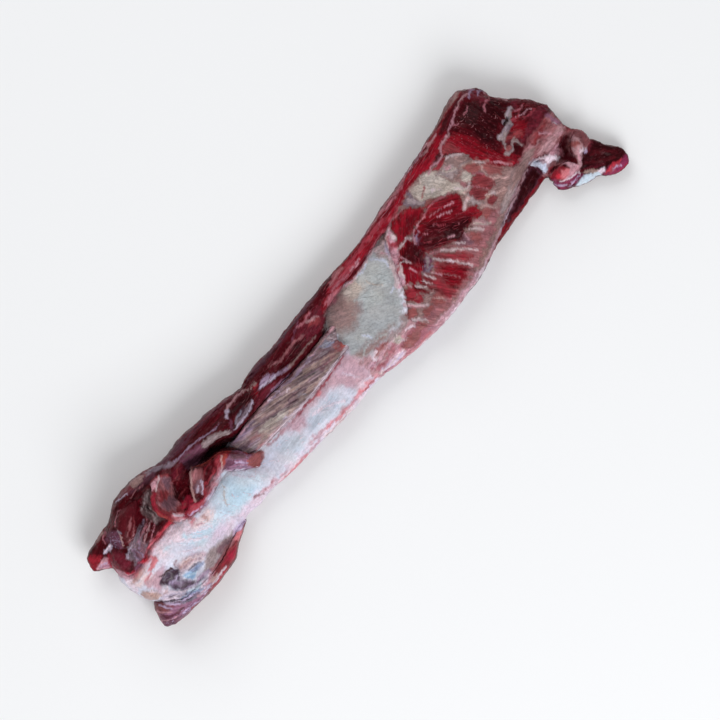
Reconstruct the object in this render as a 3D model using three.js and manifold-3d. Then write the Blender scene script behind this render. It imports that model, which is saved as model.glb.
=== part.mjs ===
// Raw beef rib bone: one rib, trimmed and cut off at one end, with the meat that is left on it.
// Sizes are millimetres. +X runs along the bone from the knuckle to the cut end, +Y to the side
// that carries the long strip of meat, and +Z up. The rib lies on the plane z = 0.
import * as THREE from 'three'
import { mergeVertices } from 'three/addons/utils/BufferGeometryUtils.js'
import { ImprovedNoise } from 'three/addons/math/ImprovedNoise.js'
import Module from 'manifold-3d'

const wasm = await Module()
wasm.setup()
const noise = new ImprovedNoise()

// Driving dimensions
const LENGTH = 362
const WIDTH = 122.4
const BONE_TOP = 17
const KNUCKLE_TOP = 27
const BELOW_FLOOR = -3
const ARCH = 2
const GAP = 0.35
const FLAP_THICKNESS = 1.8
const FLAP_LENGTH = 84
const FLAP_WIDTH = 16
const FLAP_RIM_Z = 19.4
const FLAP_FOOT_Z = 21
const FLAP_ARCH = 1.6
const WRINKLE_PITCH = 6.5
const WRINKLE_HEIGHT = 0.55
const WRINKLE_SLANT = 0.3
const RIM_WAVE_HEIGHT = 0.5
const RIM_WAVES = 23
const CURL_THICKNESS = 3.2
const CURL_SAG = 4
const RUFFLE_DEPTH = 8
const SCRAP_TOP = 15
const SCRAP_SLOPE = 0.32
const GRAIN_LENGTH = 9
const FOLDS_END_X = -62
const FLOOR_DEPTH = 40

// How finely rings, folds and outlines are followed
const HALF_RING_STEPS = 24
const FOLD_POINTS = 14
const SMALLEST_EDGE = 1e-4

// Torn tips at the frayed end of the flap as [place across it, half width, reach along the bone]
const TORN_TIPS = [
  [0.86, 0.12, 4.5],
  [0.45, 0.2, -1.5],
]
const FRAYED_SHARE = 12

// Sections of each long piece as [x, low edge y, high edge y, lowest z, highest z]
const BONE = [
  [-174.3, 15, 33, 6, 20],
  [-171.8, 9.5, 38.5, 1, KNUCKLE_TOP - 3],
  [-164, -2, 41, BELOW_FLOOR, KNUCKLE_TOP - 1],
  [-150, -8, 42, BELOW_FLOOR, KNUCKLE_TOP],
  [-135, -9, 40, BELOW_FLOOR, KNUCKLE_TOP - 2],
  [-120, -6, 37, BELOW_FLOOR, BONE_TOP + 4.5],
  [-104, -3.2, 33, BELOW_FLOOR, BONE_TOP + 1.5],
  [-95, -5.2, 31, BELOW_FLOOR + 1, BONE_TOP],
  [-88, -5.6, 30, BELOW_FLOOR + 2, BONE_TOP],
  [-70, -9.6, 29, 0.5, BONE_TOP],
  [-50, -12.4, 29, ARCH - 0.5, BONE_TOP + 0.5],
  [-25, -16.8, 30, ARCH, BONE_TOP + 0.5],
  [0, -19, 31, ARCH, BONE_TOP + 0.5],
  [20, -25, 31.5, ARCH - 1, BONE_TOP + 0.3],
  [40, -29.6, 31.5, BELOW_FLOOR + 2, BONE_TOP],
  [60, -30.8, 30.5, BELOW_FLOOR, BONE_TOP],
  [80, -31, 31, BELOW_FLOOR, BONE_TOP],
  [100, -27, 32, BELOW_FLOOR, BONE_TOP],
  [120, -21, 32, BELOW_FLOOR, BONE_TOP],
  [140, -14, 30, BELOW_FLOOR, BONE_TOP - 1],
  [152, -9, 24, BELOW_FLOOR, BONE_TOP - 3],
]
const EDGE_MEAT = [
  [-171, 32, 39, 8, 22],
  [-168.5, 29, 43.5, 2, 29],
  [-163, 27, 49, BELOW_FLOOR, 33],
  [-157, 27, 55.5, BELOW_FLOOR, 34],
  [-150, 29, 57.5, BELOW_FLOOR, 35],
  [-140, 28, 61.2, BELOW_FLOOR, 35],
  [-130, 27, 60.8, BELOW_FLOOR, 34],
  [-120, 27, 58.5, BELOW_FLOOR, 32],
  [-112, 28, 54.8, BELOW_FLOOR, 30],
  [-103, 28, 52.6, BELOW_FLOOR, 29],
  [-92, 28, 52.2, BELOW_FLOOR, 29],
  [-83, 28, 50.5, BELOW_FLOOR, 28],
  [-70, 27, 47.5, 0.5, 27],
  [-60, 26, 44.5, 1, 26.5],
  [-49, 25, 40.4, ARCH - 1, 25.5],
  [-40, 24.5, 42, ARCH - 1, 25.5],
  [-20, 20.6, 39.8, ARCH - 1, 24.5],
  [0, 19.6, 39, ARCH - 1, 23.5],
  [12, 26, 38, ARCH - 1.5, 22],
  [28, 27.5, 36.6, 0, 21],
  [55, 26.5, 34.2, BELOW_FLOOR, 20.5],
  [72, 26, 35.2, BELOW_FLOOR, 21],
  [100, 23, 35.4, BELOW_FLOOR, 22],
  [130, 20, 37, BELOW_FLOOR, 24],
  [145, 18, 39.4, BELOW_FLOOR, 25],
  [151, 18, 40, BELOW_FLOOR, 24],
  [157, 20, 36.4, BELOW_FLOOR, 21],
  [161.2, 22, 31, 4, 16],
]
const MAIN_MEAT = [
  [36, -16, -11.5, 12, 18],
  [39, -25.5, -9, 10, 18.8],
  [44, -29.6, -5, 9, 19.6],
  [48, -30.4, 1, 9, 20],
  [52, -30.8, 7, 8, 20.2],
  [57, -31.2, 13, 8, 20.5],
  [61, -31.3, 20, 7, 21],
  [66, -31.4, 25.5, 7, 21],
  [80, -31.6, 30, 6, 21.3],
  [100, -27, 31, 3, 21.3],
  [115, -23, 31, 0, 22],
  [123, -21, 32, BELOW_FLOOR, 23],
  [130, -19.5, 33, BELOW_FLOOR, 26],
  [138, -17.6, 34, BELOW_FLOOR, 27.5],
  [148, -18, 34, BELOW_FLOOR, 26.5],
  [157, -24, 32, BELOW_FLOOR, 24],
  [163, -25, 19, BELOW_FLOOR, 21.5],
  [168, -24.5, 11.5, BELOW_FLOOR, 19.5],
  [172, -21.5, 6, 0, 17.5],
  [175.2, -9, -3.5, 6, 13],
]
const SIDE_STRIP = [
  [94, -29.6, -22, 1, 7],
  [100, -28.8, -17, BELOW_FLOOR, 10],
  [110, -29, -13, BELOW_FLOOR, 12],
  [125, -29, -9, BELOW_FLOOR, 12.5],
  [139, -29, -8, BELOW_FLOOR, 12],
  [146, -28.3, -10, BELOW_FLOOR, 10],
]
const KNUCKLE_MEAT = [
  [-179.6, -3, 1.5, 9, 14],
  [-177, -5.4, 7, 5, 18],
  [-173, -6.8, 11.5, 2, 21],
  [-168, -8, 10, 0, 23],
  [-158, -9.8, 4, BELOW_FLOOR, 23.5],
  [-148, -11.5, -1, BELOW_FLOOR, 23],
  [-135, -12.2, -2.5, BELOW_FLOOR, 21],
  [-126, -11.8, -2, BELOW_FLOOR, 19],
  [-121, -9, -1.5, BELOW_FLOOR, 17.5],
  [-114, -6.8, -1.5, 0, 16],
  [-107, -4.4, -2, 5, 11],
]
const FAR_SCRAP = [
  [-178, 46.5, 50.5, 10, 15],
  [-175.5, 44, 55, 7, 18],
  [-171, 41, 56.6, 6, 21],
  [-166, 38, 56.8, 4, 24],
  [-160, 36, 57.4, 3, 26],
  [-153, 38, 57, 3, 27],
]
const SCRAP_NECK = [
  [144, -30, -14, BELOW_FLOOR, 13],
  [150, -32, -14, BELOW_FLOOR, 15],
  [158, -33, -14, BELOW_FLOOR, 15],
  [167, -32, -14, BELOW_FLOOR, 15],
  [172.5, -31, -18, 0, 13],
]

// Rises and dips of a surface as [x, y, half length, half width, turn in degrees, rise]
const BONE_RELIEF = [
  [-155, 7, 8, 3.6, -28, -7],
  [-146, 3.2, 6, 2.4, -20, -3.5],
  [-155.5, 15.5, 5, 2, -20, -3],
  [-168, 16, 4, 6, 0, 2.5],
  [-163, -1, 9, 2.4, -35, 2.5],
  [-138, 9, 9, 3.4, -18, 2],
  [-135, 22, 22, 7, -6, 2],
  [-160, 22, 6, 4, -10, 1.5],
  [-117, 16, 8, 4, 10, 1.2],
  [-103, 13, 10, 2, 50, 1],
  [-45, 0, 50, 8, -8, -1.2],
  [-20, -9, 45, 3, -9, 1],
  [35, 8, 22, 10, 0, -1],
]
const EDGE_RELIEF = [
  [-143, 50, 11, 4.5, 22, 5],
  [-166, 38, 4, 7, -10, 4],
  [-159.5, 46, 1.8, 9, 20, -5],
  [-154.5, 36, 4, 4, 20, -3.5],
  [-142, 41, 12, 1.6, 14, -4],
  [-143, 36, 10, 2.2, 12, 2],
  [-140, 31.5, 13, 1.6, 0, 1.5],
  [-132.5, 42, 2.2, 9, -12, -6],
  [-131, 57, 15, 1.8, -10, 2.5],
  [-133, 53.5, 12, 1.6, -8, -2.5],
  [-117, 37, 6, 8, 20, -13],
  [-104, 39.5, 8, 3, -8, -7],
  [-90, 32, 12, 4, -14, -15],
  [-79, 26, 4, 7, 15, -11],
  [-104, 48, 24, 1.6, -15, 2.6],
  [-95, 41, 10, 2, -8, 1.5],
  [-78, 42.5, 26, 1.4, -13, -2],
  [-77, 36.5, 11, 2, -20, 2.6],
  [-60, 31.5, 10, 1.6, 0, -2.6],
  [-60, 27.5, 14, 1.6, -2, 1.5],
  [-40, 34, 7, 1.8, -12, 2],
  [-28, 30, 28, 1.5, -13, -2.5],
  [-20, 25, 26, 1.6, -5, 1.2],
  [-15, 36.5, 30, 1.6, -2, 1.6],
  [0, 32, 22, 1.3, 8, -1.6],
  [38, 31, 24, 1.4, -4, -1.5],
  [100, 32, 34, 1.2, 2, 1.2],
]
const MAIN_RELIEF = [
  [84, 7, 20, 9, -8, 2.6],
  [78, 19, 9, 5, 20, 1.2],
  [106, 18, 16, 6, 0, -1.8],
  [103, -14, 9, 3, 12, -1.4],
  [90, -12, 3, 9, 40, -1.4],
  [79, -17, 2, 9, -20, -1.2],
  [72, -14, 2, 9, -20, 1.2],
  [62, -15, 3, 9, -15, -1.2],
  [65, -3, 4, 3.5, 0, -2],
  [57, -9, 9, 1.4, 55, -1.4],
  [128.5, 8, 21, 1.6, -62, -2.4],
  [146, 19, 13, 11, 0, 1.8],
  [152, 6, 12, 1.8, 30, -3],
  [156, 7, 3, 1.6, 0, -3],
  [142, -3, 3, 3, 0, 1.4],
  [147, -5, 2.5, 2, 0, -2.4],
  [161, -1, 8, 5.5, 15, 2],
  [158, -14, 16, 4, -5, -3],
  [113, 23, 5, 2.2, 0, 1.4],
  [118, -2, 6, 5, 30, 1.2],
  [113, -19, 22, 2, 12, 1.5],
]
const NECK_RELIEF = [
  [163, -27.5, 7, 3.2, 20, -10],
  [151, -23, 5, 3, 0, 2],
]

// A smooth line through the rows of a table, read at any x
function through(rows) {
  const places = rows.map((row) => row[0])
  const values = rows.flatMap((row) => row.slice(1))
  const line = new THREE.CubicInterpolant(places, values, rows[0].length - 1)
  return (x) => Array.from(line.evaluate(x))
}

// The summed height of smooth mounds and dips at one place
function reliefAt(mounds, x, y) {
  let height = 0
  for (const [cx, cy, along, across, turn, rise] of mounds) {
    const angle = THREE.MathUtils.degToRad(turn)
    const dx = x - cx
    const dy = y - cy
    const u = (dx * Math.cos(angle) + dy * Math.sin(angle)) / along
    const v = (dy * Math.cos(angle) - dx * Math.sin(angle)) / across
    height += rise * Math.exp(-(u * u + v * v))
  }
  return height
}

// A closed body through rings of points that run anticlockwise seen from the last ring's side
function bodyOfRings(rings, nose) {
  const count = rings[0].length
  const positions = []
  const index = []
  for (const ring of rings) {
    for (const p of ring) positions.push(p.x, p.y, p.z)
  }
  for (let i = 0; i + 1 < rings.length; i++) {
    for (let k = 0; k < count; k++) {
      const a = i * count + k
      const b = i * count + (k + 1) % count
      index.push(a, b, b + count, a, b + count, a + count)
    }
  }
  const ends = [[rings[0], 0, rings[1]], [rings.at(-1), (rings.length - 1) * count, rings.at(-2)]]
  ends.forEach(([ring, first, inner], end) => {
    const centre = middleOf(ring)
    const tip = centre.clone().sub(middleOf(inner)).setLength(nose).add(centre)
    const tipIndex = positions.length / 3
    positions.push(tip.x, tip.y, tip.z)
    for (let k = 0; k < count; k++) {
      const a = first + k
      const b = first + (k + 1) % count
      index.push(...(end ? [a, b, tipIndex] : [b, a, tipIndex]))
    }
  })
  const geometry = new THREE.BufferGeometry()
  geometry.setAttribute('position', new THREE.Float32BufferAttribute(positions, 3))
  geometry.setIndex(index)
  return geometry
}

function middleOf(points) {
  const sum = new THREE.Vector3()
  for (const p of points) sum.add(p)
  return sum.divideScalar(points.length)
}

// From this share of a section's upper half upwards, relief lifts the skin fully
const FULL_LIFT = 0.8

// Where the grain of the top and of the sides is read
const TOP_GRAIN = 7
const SIDE_GRAIN = { step: 3.3, depth: 2 }

// One section across a long piece: a rounded box with more points above than below
function sectionAt(x, [low, high, bottom, top], form) {
  const middleY = (low + high) / 2
  const middleZ = (bottom + top) / 2
  const power = 2 / form.squareness
  const half = (from, count) => {
    const points = []
    for (let i = 0; i <= HALF_RING_STEPS; i++) {
      const t = from + Math.PI * i / HALF_RING_STEPS
      const c = Math.cos(t)
      const s = Math.sin(t)
      points.push(new THREE.Vector2(
        middleY + Math.sign(c) * Math.abs(c) ** power * ((high - low) / 2 + form.grow),
        middleZ + Math.sign(s) * Math.abs(s) ** power * ((top - bottom) / 2 + form.grow),
      ))
    }
    return new THREE.SplineCurve(points).getSpacedPoints(count).slice(0, count)
  }
  return [...half(0, form.above), ...half(Math.PI, form.below)].map(({ x: y, y: z }) => {
    const lift = THREE.MathUtils.smoothstep(z, middleZ, THREE.MathUtils.lerp(middleZ, top, FULL_LIFT))
    const [gx, gy, gz] = [x, y, z].map((value) => value / GRAIN_LENGTH)
    const grain = form.roughness * noise.noise(gx, gy, gz + TOP_GRAIN)
    const flank = Math.sign(y - middleY) * SIDE_GRAIN.step
    const side = form.roughness * noise.noise(gx, flank, SIDE_GRAIN.depth)
    const rise = reliefAt(form.relief, x, y) + grain
    return new THREE.Vector3(x, y + side * (1 - lift), z + lift * rise)
  })
}

// A long piece through its rows of sections; the pitch is the distance from ring to ring
function longPiece(rows, settings) {
  const form = { relief: [], roughness: 0.7, grow: 0, nose: 1, ...settings }
  const at = through(rows)
  const end = rows.at(-1)[0] + form.grow
  const rings = []
  for (let x = rows[0][0] - form.grow; x < end - form.pitch(x) / 3; x += form.pitch(x)) {
    rings.push(sectionAt(x, at(x), form))
  }
  rings.push(sectionAt(end, at(end), form))
  return bodyOfRings(rings, form.nose)
}

function curve(points) {
  return new THREE.CatmullRomCurve3(points.map((p) => new THREE.Vector3(...p)))
}

// A surface between an outer rim and an inner foot, hollowed like a cupped hand
function cupped(rim, foot, sag) {
  const rimCurve = curve(rim)
  const footCurve = curve(foot)
  return (u, v) => {
    const a = rimCurve.getPoint(u)
    const c = footCurve.getPoint(u)
    const b = a.clone().lerp(c, 0.5)
    b.z -= sag
    return a.multiplyScalar((1 - v) ** 2).addScaledVector(b, 2 * v * (1 - v)).addScaledVector(c, v * v)
  }
}

// A surface given a thickness, thinner at its free edges, and held back from its edges by the inset
function sheet(point, thickness, along, across, [insetU, insetV] = [0, 0]) {
  const geometry = new THREE.BoxGeometry(1, 1, 1, along, across, 1)
  const position = geometry.attributes.position
  const step = 0.01
  const thinnest = 0.5
  const thickening = 4
  for (let i = 0; i < position.count; i++) {
    const u = 0.5 + position.getX(i) * (1 - 2 * insetU)
    const v = 0.5 + position.getY(i) * (1 - 2 * insetV)
    const du = point(Math.min(u + step, 1), v).sub(point(Math.max(u - step, 0), v))
    const dv = point(u, Math.min(v + step, 1)).sub(point(u, Math.max(v - step, 0)))
    const edge = Math.min(1, thinnest + thickening * Math.min(u, 1 - u, v))
    const out = du.cross(dv).setLength(position.getZ(i) * thickness * edge)
    const p = point(u, v).add(out)
    position.setXYZ(i, p.x, p.y, p.z)
  }
  return geometry
}

// A fold of meat: rings through a front edge, a crest and a back foot, closed below
function fold(front, crest, back, depth, steps) {
  const guides = [front, crest, back].map(curve)
  const bulge = 0.25
  const lip = 2
  const rings = []
  for (let i = 0; i <= steps; i++) {
    const u = i / steps
    const [f, c, b] = guides.map((guide) => guide.getPoint(u))
    const swell = f.clone().lerp(c, 0.5)
    swell.z += bulge * (c.z - f.z)
    const hang = b.clone().lerp(c, 0.55)
    const loop = [
      f.clone().setZ(f.z - lip), f, swell, c, hang, b,
      b.clone().setZ(b.z - depth), f.clone().lerp(b, 0.3).setZ(f.z - depth),
    ]
    const ring = new THREE.CatmullRomCurve3(loop, true).getPoints(FOLD_POINTS)
    rings.push(ring.slice(0, FOLD_POINTS).reverse())
  }
  return bodyOfRings(rings, 1)
}

// A rounded lump, turned about the vertical
function lump([x, y, z], [along, across, up], turn, detail = 10) {
  const rows = Math.round(detail * 0.7)
  const geometry = new THREE.SphereGeometry(1, detail, rows)
  geometry.rotateX(Math.PI / 2)
  geometry.scale(along, across, up)
  geometry.rotateZ(THREE.MathUtils.degToRad(turn))
  geometry.translate(x, y, z)
  return geometry
}

// A slab with a rounded outline and soft edges, whose upper face drops away from a high place
function slab(outline, bottom, top, soft, [highX, highY], drop) {
  const points = new THREE.SplineCurve([...outline, outline[0]].map((p) => new THREE.Vector2(...p)))
  const shape = new THREE.Shape(points.getPoints(outline.length * 2).slice(0, -1))
  const geometry = new THREE.ExtrudeGeometry(shape, {
    depth: top - bottom - 2 * soft,
    bevelThickness: soft,
    bevelSize: soft,
    bevelOffset: -soft,
    bevelSegments: 2,
  })
  geometry.translate(0, 0, bottom + soft)
  const position = geometry.attributes.position
  for (let i = 0; i < position.count; i++) {
    const away = Math.hypot(position.getX(i) - highX, position.getY(i) - highY)
    const share = (position.getZ(i) - bottom) / (top - bottom)
    position.setZ(i, position.getZ(i) - share * drop * away)
  }
  return geometry
}

// Joining and cutting
function solidOf(geometry) {
  const bare = geometry.clone()
  bare.deleteAttribute('normal')
  bare.deleteAttribute('uv')
  const merged = mergeVertices(bare, SMALLEST_EDGE)
  return new wasm.Manifold(new wasm.Mesh({
    numProp: 3,
    vertProperties: merged.attributes.position.array,
    triVerts: Uint32Array.from(merged.index.array),
  }))
}

function joined(geometries) {
  return geometries.map(solidOf).reduce((whole, piece) => whole.add(piece))
}

function geometryOf(solid) {
  const { vertProperties, triVerts, numProp } = solid.getMesh()
  const positions = []
  for (let i = 0; i < vertProperties.length; i += numProp) {
    positions.push(...vertProperties.slice(i, i + 3))
  }
  const geometry = new THREE.BufferGeometry()
  geometry.setAttribute('position', new THREE.Float32BufferAttribute(positions, 3))
  geometry.setIndex(Array.from(triVerts))
  geometry.computeVertexNormals()
  return geometry
}

// The pieces
function boneSolid(grow) {
  const pitch = (x) => (x < FOLDS_END_X ? 5 : 10)
  const counts = { above: 13, below: 5 }
  const look = { squareness: 2.7, relief: BONE_RELIEF, roughness: 0.6 }
  return solidOf(longPiece(BONE, { pitch, ...counts, ...look, grow }))
}

// The sheet of silverskin that lies loose over the shaft, wrinkled on the slant, with one frayed end
function flapSolid(grow) {
  const rim = [[-76.5, 13.5], [-62, 10.4], [-45, 8], [-28, 6.1], [-12, 5.5], [4.3, 4.8]]
  const foot = [[-78, 27.5], [-64, 27.2], [-46, 26.2], [-30, 23.5], [-12, 21.6], [6, 20.2]]
  const surface = cupped(
    rim.map(([x, y]) => [x, y, FLAP_RIM_Z]),
    foot.map(([x, y]) => [x, y, FLAP_FOOT_Z]),
    -FLAP_ARCH,
  )
  const point = (u, v) => {
    const p = surface(u, v)
    const phase = (p.y + WRINKLE_SLANT * p.x) * 2 * Math.PI / WRINKLE_PITCH
    p.z += WRINKLE_HEIGHT * Math.sin(phase) * Math.sin(Math.PI * v)
    for (const [place, halfWidth, reach] of TORN_TIPS) {
      p.x += u ** FRAYED_SHARE * reach * Math.exp(-(((v - place) / halfWidth) ** 2))
    }
    p.y += RIM_WAVE_HEIGHT * Math.sin(u * RIM_WAVES) * (1 - v) ** 3
    return p
  }
  const inset = grow ? [0, 0] : [GAP / FLAP_LENGTH, GAP / FLAP_WIDTH]
  return solidOf(sheet(point, FLAP_THICKNESS + 2 * grow, 22, 7, inset))
}

function stripAndLump() {
  const pitch = (x) => (x < FOLDS_END_X ? 2.8 : 6.5)
  return longPiece(EDGE_MEAT, { pitch, above: 18, below: 4, squareness: 2.8, relief: EDGE_RELIEF })
}

function mainAndCap() {
  const pitch = () => 3.7
  return longPiece(MAIN_MEAT, { pitch, above: 20, below: 3, squareness: 3.4, relief: MAIN_RELIEF })
}

// The upright curl beside the lump, open towards the hollow
function curl() {
  const rim = [
    [-118.5, 50, 34], [-124, 46.6, 37.5], [-129.6, 40, 38.5],
    [-130.6, 32.5, 36.5], [-128.4, 26, 32], [-123.5, 22.6, 27],
  ]
  const foot = [
    [-111.5, 46, 29], [-114, 43, 22], [-117, 38, 18],
    [-119, 33, 18], [-119.5, 29, 19], [-117, 26, 21],
  ]
  return sheet(cupped(rim, foot, CURL_SAG), CURL_THICKNESS, 12, 4)
}

// The fold that lies over the shaft, with a near-black hollow behind its crest
function ruffle() {
  const front = [
    [-125.5, 21.5, 23], [-116, 19.4, 22.5], [-107, 19, 22], [-98, 19.9, 21.5],
    [-91, 19.4, 21], [-84.5, 13, 20.5], [-78, 7, 19.6],
  ]
  const crest = [
    [-121, 25.5, 26], [-113, 27.5, 28.5], [-102, 36, 35], [-94, 31.5, 33],
    [-86, 28, 31], [-80, 20, 28], [-71.5, 10.5, 21],
  ]
  const back = [
    [-119, 29.5, 19], [-111, 33, 18], [-101, 37.4, 18], [-92, 34, 17],
    [-83, 30, 17], [-77, 21, 17.5], [-70.5, 11.5, 17.5],
  ]
  return fold(front, crest, back, RUFFLE_DEPTH, 20)
}

function stringyNeck() {
  const pitch = () => 2.8
  return longPiece(SCRAP_NECK, { pitch, above: 12, below: 3, squareness: 2.6, relief: NECK_RELIEF })
}

// The torn scrap of meat and fat that hangs from the cut end
function hangingScrap() {
  const outline = [
    [157, -42], [163, -37.5], [170, -35.5], [175.4, -37], [177.3, -45],
    [181, -54], [177.3, -61.2], [168, -59.4], [162.5, -53.5], [157, -48],
  ]
  const dark = slab(outline, 0.5, SCRAP_TOP, 3, [168, -42], SCRAP_SLOPE)
  const pinkLobe = lump([151, -34.3, 12], [8.6, 4.6, 8], -24)
  const paleLobe = lump([155.2, -37, 10], [4, 5.4, 8], -30)
  const farLobe = lump([167, -32.6, 13.5], [7, 4.2, 7.5], 42)
  const nearLobe = lump([161.2, -37.6, 11], [5.4, 3.6, 7], 40)
  const greyLobe = lump([172.8, -31.2, 10], [3.4, 6, 7.5], 0)
  const mottledRim = lump([149.6, -38.5, 7], [8.4, 6, 7], -28)
  const whiteFat = lump([155.5, -45.4, 4.5], [11, 4.2, 5.2], -32)
  const web = lump([160, -36, 5], [12, 6, 7], 0)
  return [dark, pinkLobe, paleLobe, farLobe, nearLobe, greyLobe, mottledRim, whiteFat, web]
}

function meatSolid() {
  const strip = longPiece(SIDE_STRIP, { pitch: () => 5, above: 8, below: 3, squareness: 2.6 })
  const far = longPiece(FAR_SCRAP, { pitch: () => 2.8, above: 10, below: 4, squareness: 2.4 })
  const folds = [curl(), ruffle()]
  return joined([stripAndLump(), mainAndCap(), strip, far, ...folds, stringyNeck(), ...hangingScrap()])
}

const floor = new THREE.BoxGeometry(LENGTH * 2, WIDTH * 2, FLOOR_DEPTH)
floor.translate(0, 0, -FLOOR_DEPTH / 2)
const belowFloor = solidOf(floor)
const aroundBone = boneSolid(GAP)
const aroundFlap = flapSolid(GAP)
const knuckle = solidOf(longPiece(KNUCKLE_MEAT, { pitch: () => 3.5, above: 10, below: 4, squareness: 2.5 }))
const meat = meatSolid().subtract(aroundBone).subtract(aroundFlap).subtract(belowFloor)

// Name, solid, colour and roughness of each piece
const PIECES = [
  ['rib_bone', boneSolid(0).subtract(belowFloor), 0xdccfd2, 0.45],
  ['rib_meat', meat, 0x6b1c24, 0.4],
  ['silverskin_flap', flapSolid(0).subtract(aroundBone), 0x9c8682, 0.4],
  ['knuckle_meat', knuckle.subtract(aroundBone).subtract(belowFloor), 0x8d4a50, 0.45],
]

const group = new THREE.Group()
for (const [name, solid, color, roughness] of PIECES) {
  const material = new THREE.MeshStandardMaterial({ color, roughness, metalness: 0 })
  const mesh = new THREE.Mesh(geometryOf(solid), material)
  mesh.name = name
  group.add(mesh)
}

// The origin is the middle of the whole, at the level that it lies on
const middle = new THREE.Box3().setFromObject(group).getCenter(new THREE.Vector3())
group.position.set(-middle.x, -middle.y, 0)

export default group
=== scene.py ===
# %% [markdown]
# # A raw beef rib bone
# One long rib lies flat: a bare pale shaft, a strip of dark meat along one side, a loose flap of
# silverskin, and a thick cap of meat with a hanging scrap at the cut end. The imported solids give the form.
# This lesson adds what they leave out: soft skin, tissue, fat and shine.

import itertools
import math

import bmesh
import bpy
import numpy as np
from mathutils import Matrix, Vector
from mathutils.bvhtree import BVHTree


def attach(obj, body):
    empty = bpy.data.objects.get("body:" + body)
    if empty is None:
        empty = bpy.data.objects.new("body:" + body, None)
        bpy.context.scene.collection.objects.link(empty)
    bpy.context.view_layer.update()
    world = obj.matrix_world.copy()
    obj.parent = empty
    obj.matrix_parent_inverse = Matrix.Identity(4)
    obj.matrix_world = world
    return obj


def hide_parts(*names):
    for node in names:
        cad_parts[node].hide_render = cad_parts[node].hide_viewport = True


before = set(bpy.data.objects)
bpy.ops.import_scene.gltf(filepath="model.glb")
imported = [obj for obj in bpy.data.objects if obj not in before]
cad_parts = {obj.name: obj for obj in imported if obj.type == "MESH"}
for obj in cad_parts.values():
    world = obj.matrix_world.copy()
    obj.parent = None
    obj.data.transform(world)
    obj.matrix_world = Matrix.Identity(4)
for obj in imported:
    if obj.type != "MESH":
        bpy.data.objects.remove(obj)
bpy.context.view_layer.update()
MM = 0.001
print("solids:", sorted(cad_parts))

# %% [markdown]
# ## Noise
# Flesh is uneven at every scale, from broad stains down to the grain. Blender's mathutils.noise could give
# that, but it takes one point at a time, which is slow for a fine mesh. So a seeded gradient noise is
# worked out here for all points at once, and is the same each time.

# %% Gradient noise
PRIMES = np.array([73856093, 19349663, 83492791])
SEED_PRIME, SEED_OFFSET = 2654435, 17.31
SCRAMBLE = ((13, 1274126177), (15, 2246822519))
WORD, TEN_BITS = 0xFFFFFFFF, 1023
STRETCH, FAINTER = 1.5, 1.7


def noise(points, size, seed):
    """Smooth noise from about -1 to 1 with features of one size in millimetres."""
    scaled = points / size + seed * SEED_OFFSET
    cell = np.floor(scaled).astype(np.int64)
    part = scaled - cell
    blend = part**3 * (part * (part * 6 - 15) + 10)
    total = np.zeros(len(points))
    for corner in itertools.product((0, 1), repeat=3):
        key = (cell + corner) @ PRIMES + seed * SEED_PRIME
        for shift, factor in SCRAMBLE:
            key = (key ^ (key >> shift)) * factor & WORD
        slope = np.stack([key >> bits & TEN_BITS for bits in (0, 10, 20)], 1) / (TEN_BITS / 2) - 1
        weight = np.where(corner, blend, 1 - blend).prod(1)
        total += weight * (slope * (part - corner)).sum(1)
    return total * STRETCH


def rough_noise(points, size, seed, octaves=3):
    """Noise with finer and fainter noise on top."""
    return sum(noise(points, size / 2**k, seed + k) / FAINTER**k for k in range(octaves))


def step(low, high, value):
    """A soft step from 0 at low to 1 at high."""
    t = np.clip((value - low) / (high - low), 0, 1)
    return t * t * (3 - 2 * t)


sample = noise(np.arange(3000).reshape(-1, 3) * 0.37, 5, 1)
print("noise runs from", sample.min().round(2), "to", sample.max().round(2))

# %% [markdown]
# ## Skin over the solids
# The solids are faceted, and real flesh has no facets. A Subdivision Surface would round them, but it pulls
# long thin facets into ridges. So each piece starts as a copy of its solid, is remeshed into small even
# cells, and is relaxed until the facets melt into one soft surface. The relaxing goes in and out in turn,
# which loses the facets but keeps the volume.

# %% Read and write the points of a piece
MERGE = 0.01


def read_vectors(items, kind):
    """One vector of each item of a mesh, as rows."""
    co = np.empty(len(items) * 3, np.float32)
    items.foreach_get(kind, co)
    return co.reshape(-1, 3).astype(float)


def get_places(piece):
    """The points of a piece in millimetres."""
    return read_vectors(piece.data.vertices, "co") / MM


def get_normals(piece):
    """The direction that the surface faces at each point."""
    return read_vectors(piece.data.vertex_normals, "vector")


def put_places(piece, co):
    """Moves the points of a piece, in millimetres."""
    piece.data.vertices.foreach_set("co", (co * MM).astype(np.float32).ravel())
    piece.data.update()


# %% Relax a surface
def relax(co, edges, rounds, inward=0.5, outward=-0.53):
    """Moves each point towards, and then away from, the middle of its neighbours."""
    a, b = edges.T
    size = len(co)
    count = np.bincount(np.concatenate([a, b]), minlength=size)[:, None]
    for k in range(rounds * 2):
        total = [np.bincount(a, co[b, i], size) + np.bincount(b, co[a, i], size) for i in range(3)]
        co = co + (np.stack(total, 1) / count - co) * (outward if k % 2 else inward)
    return co


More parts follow.
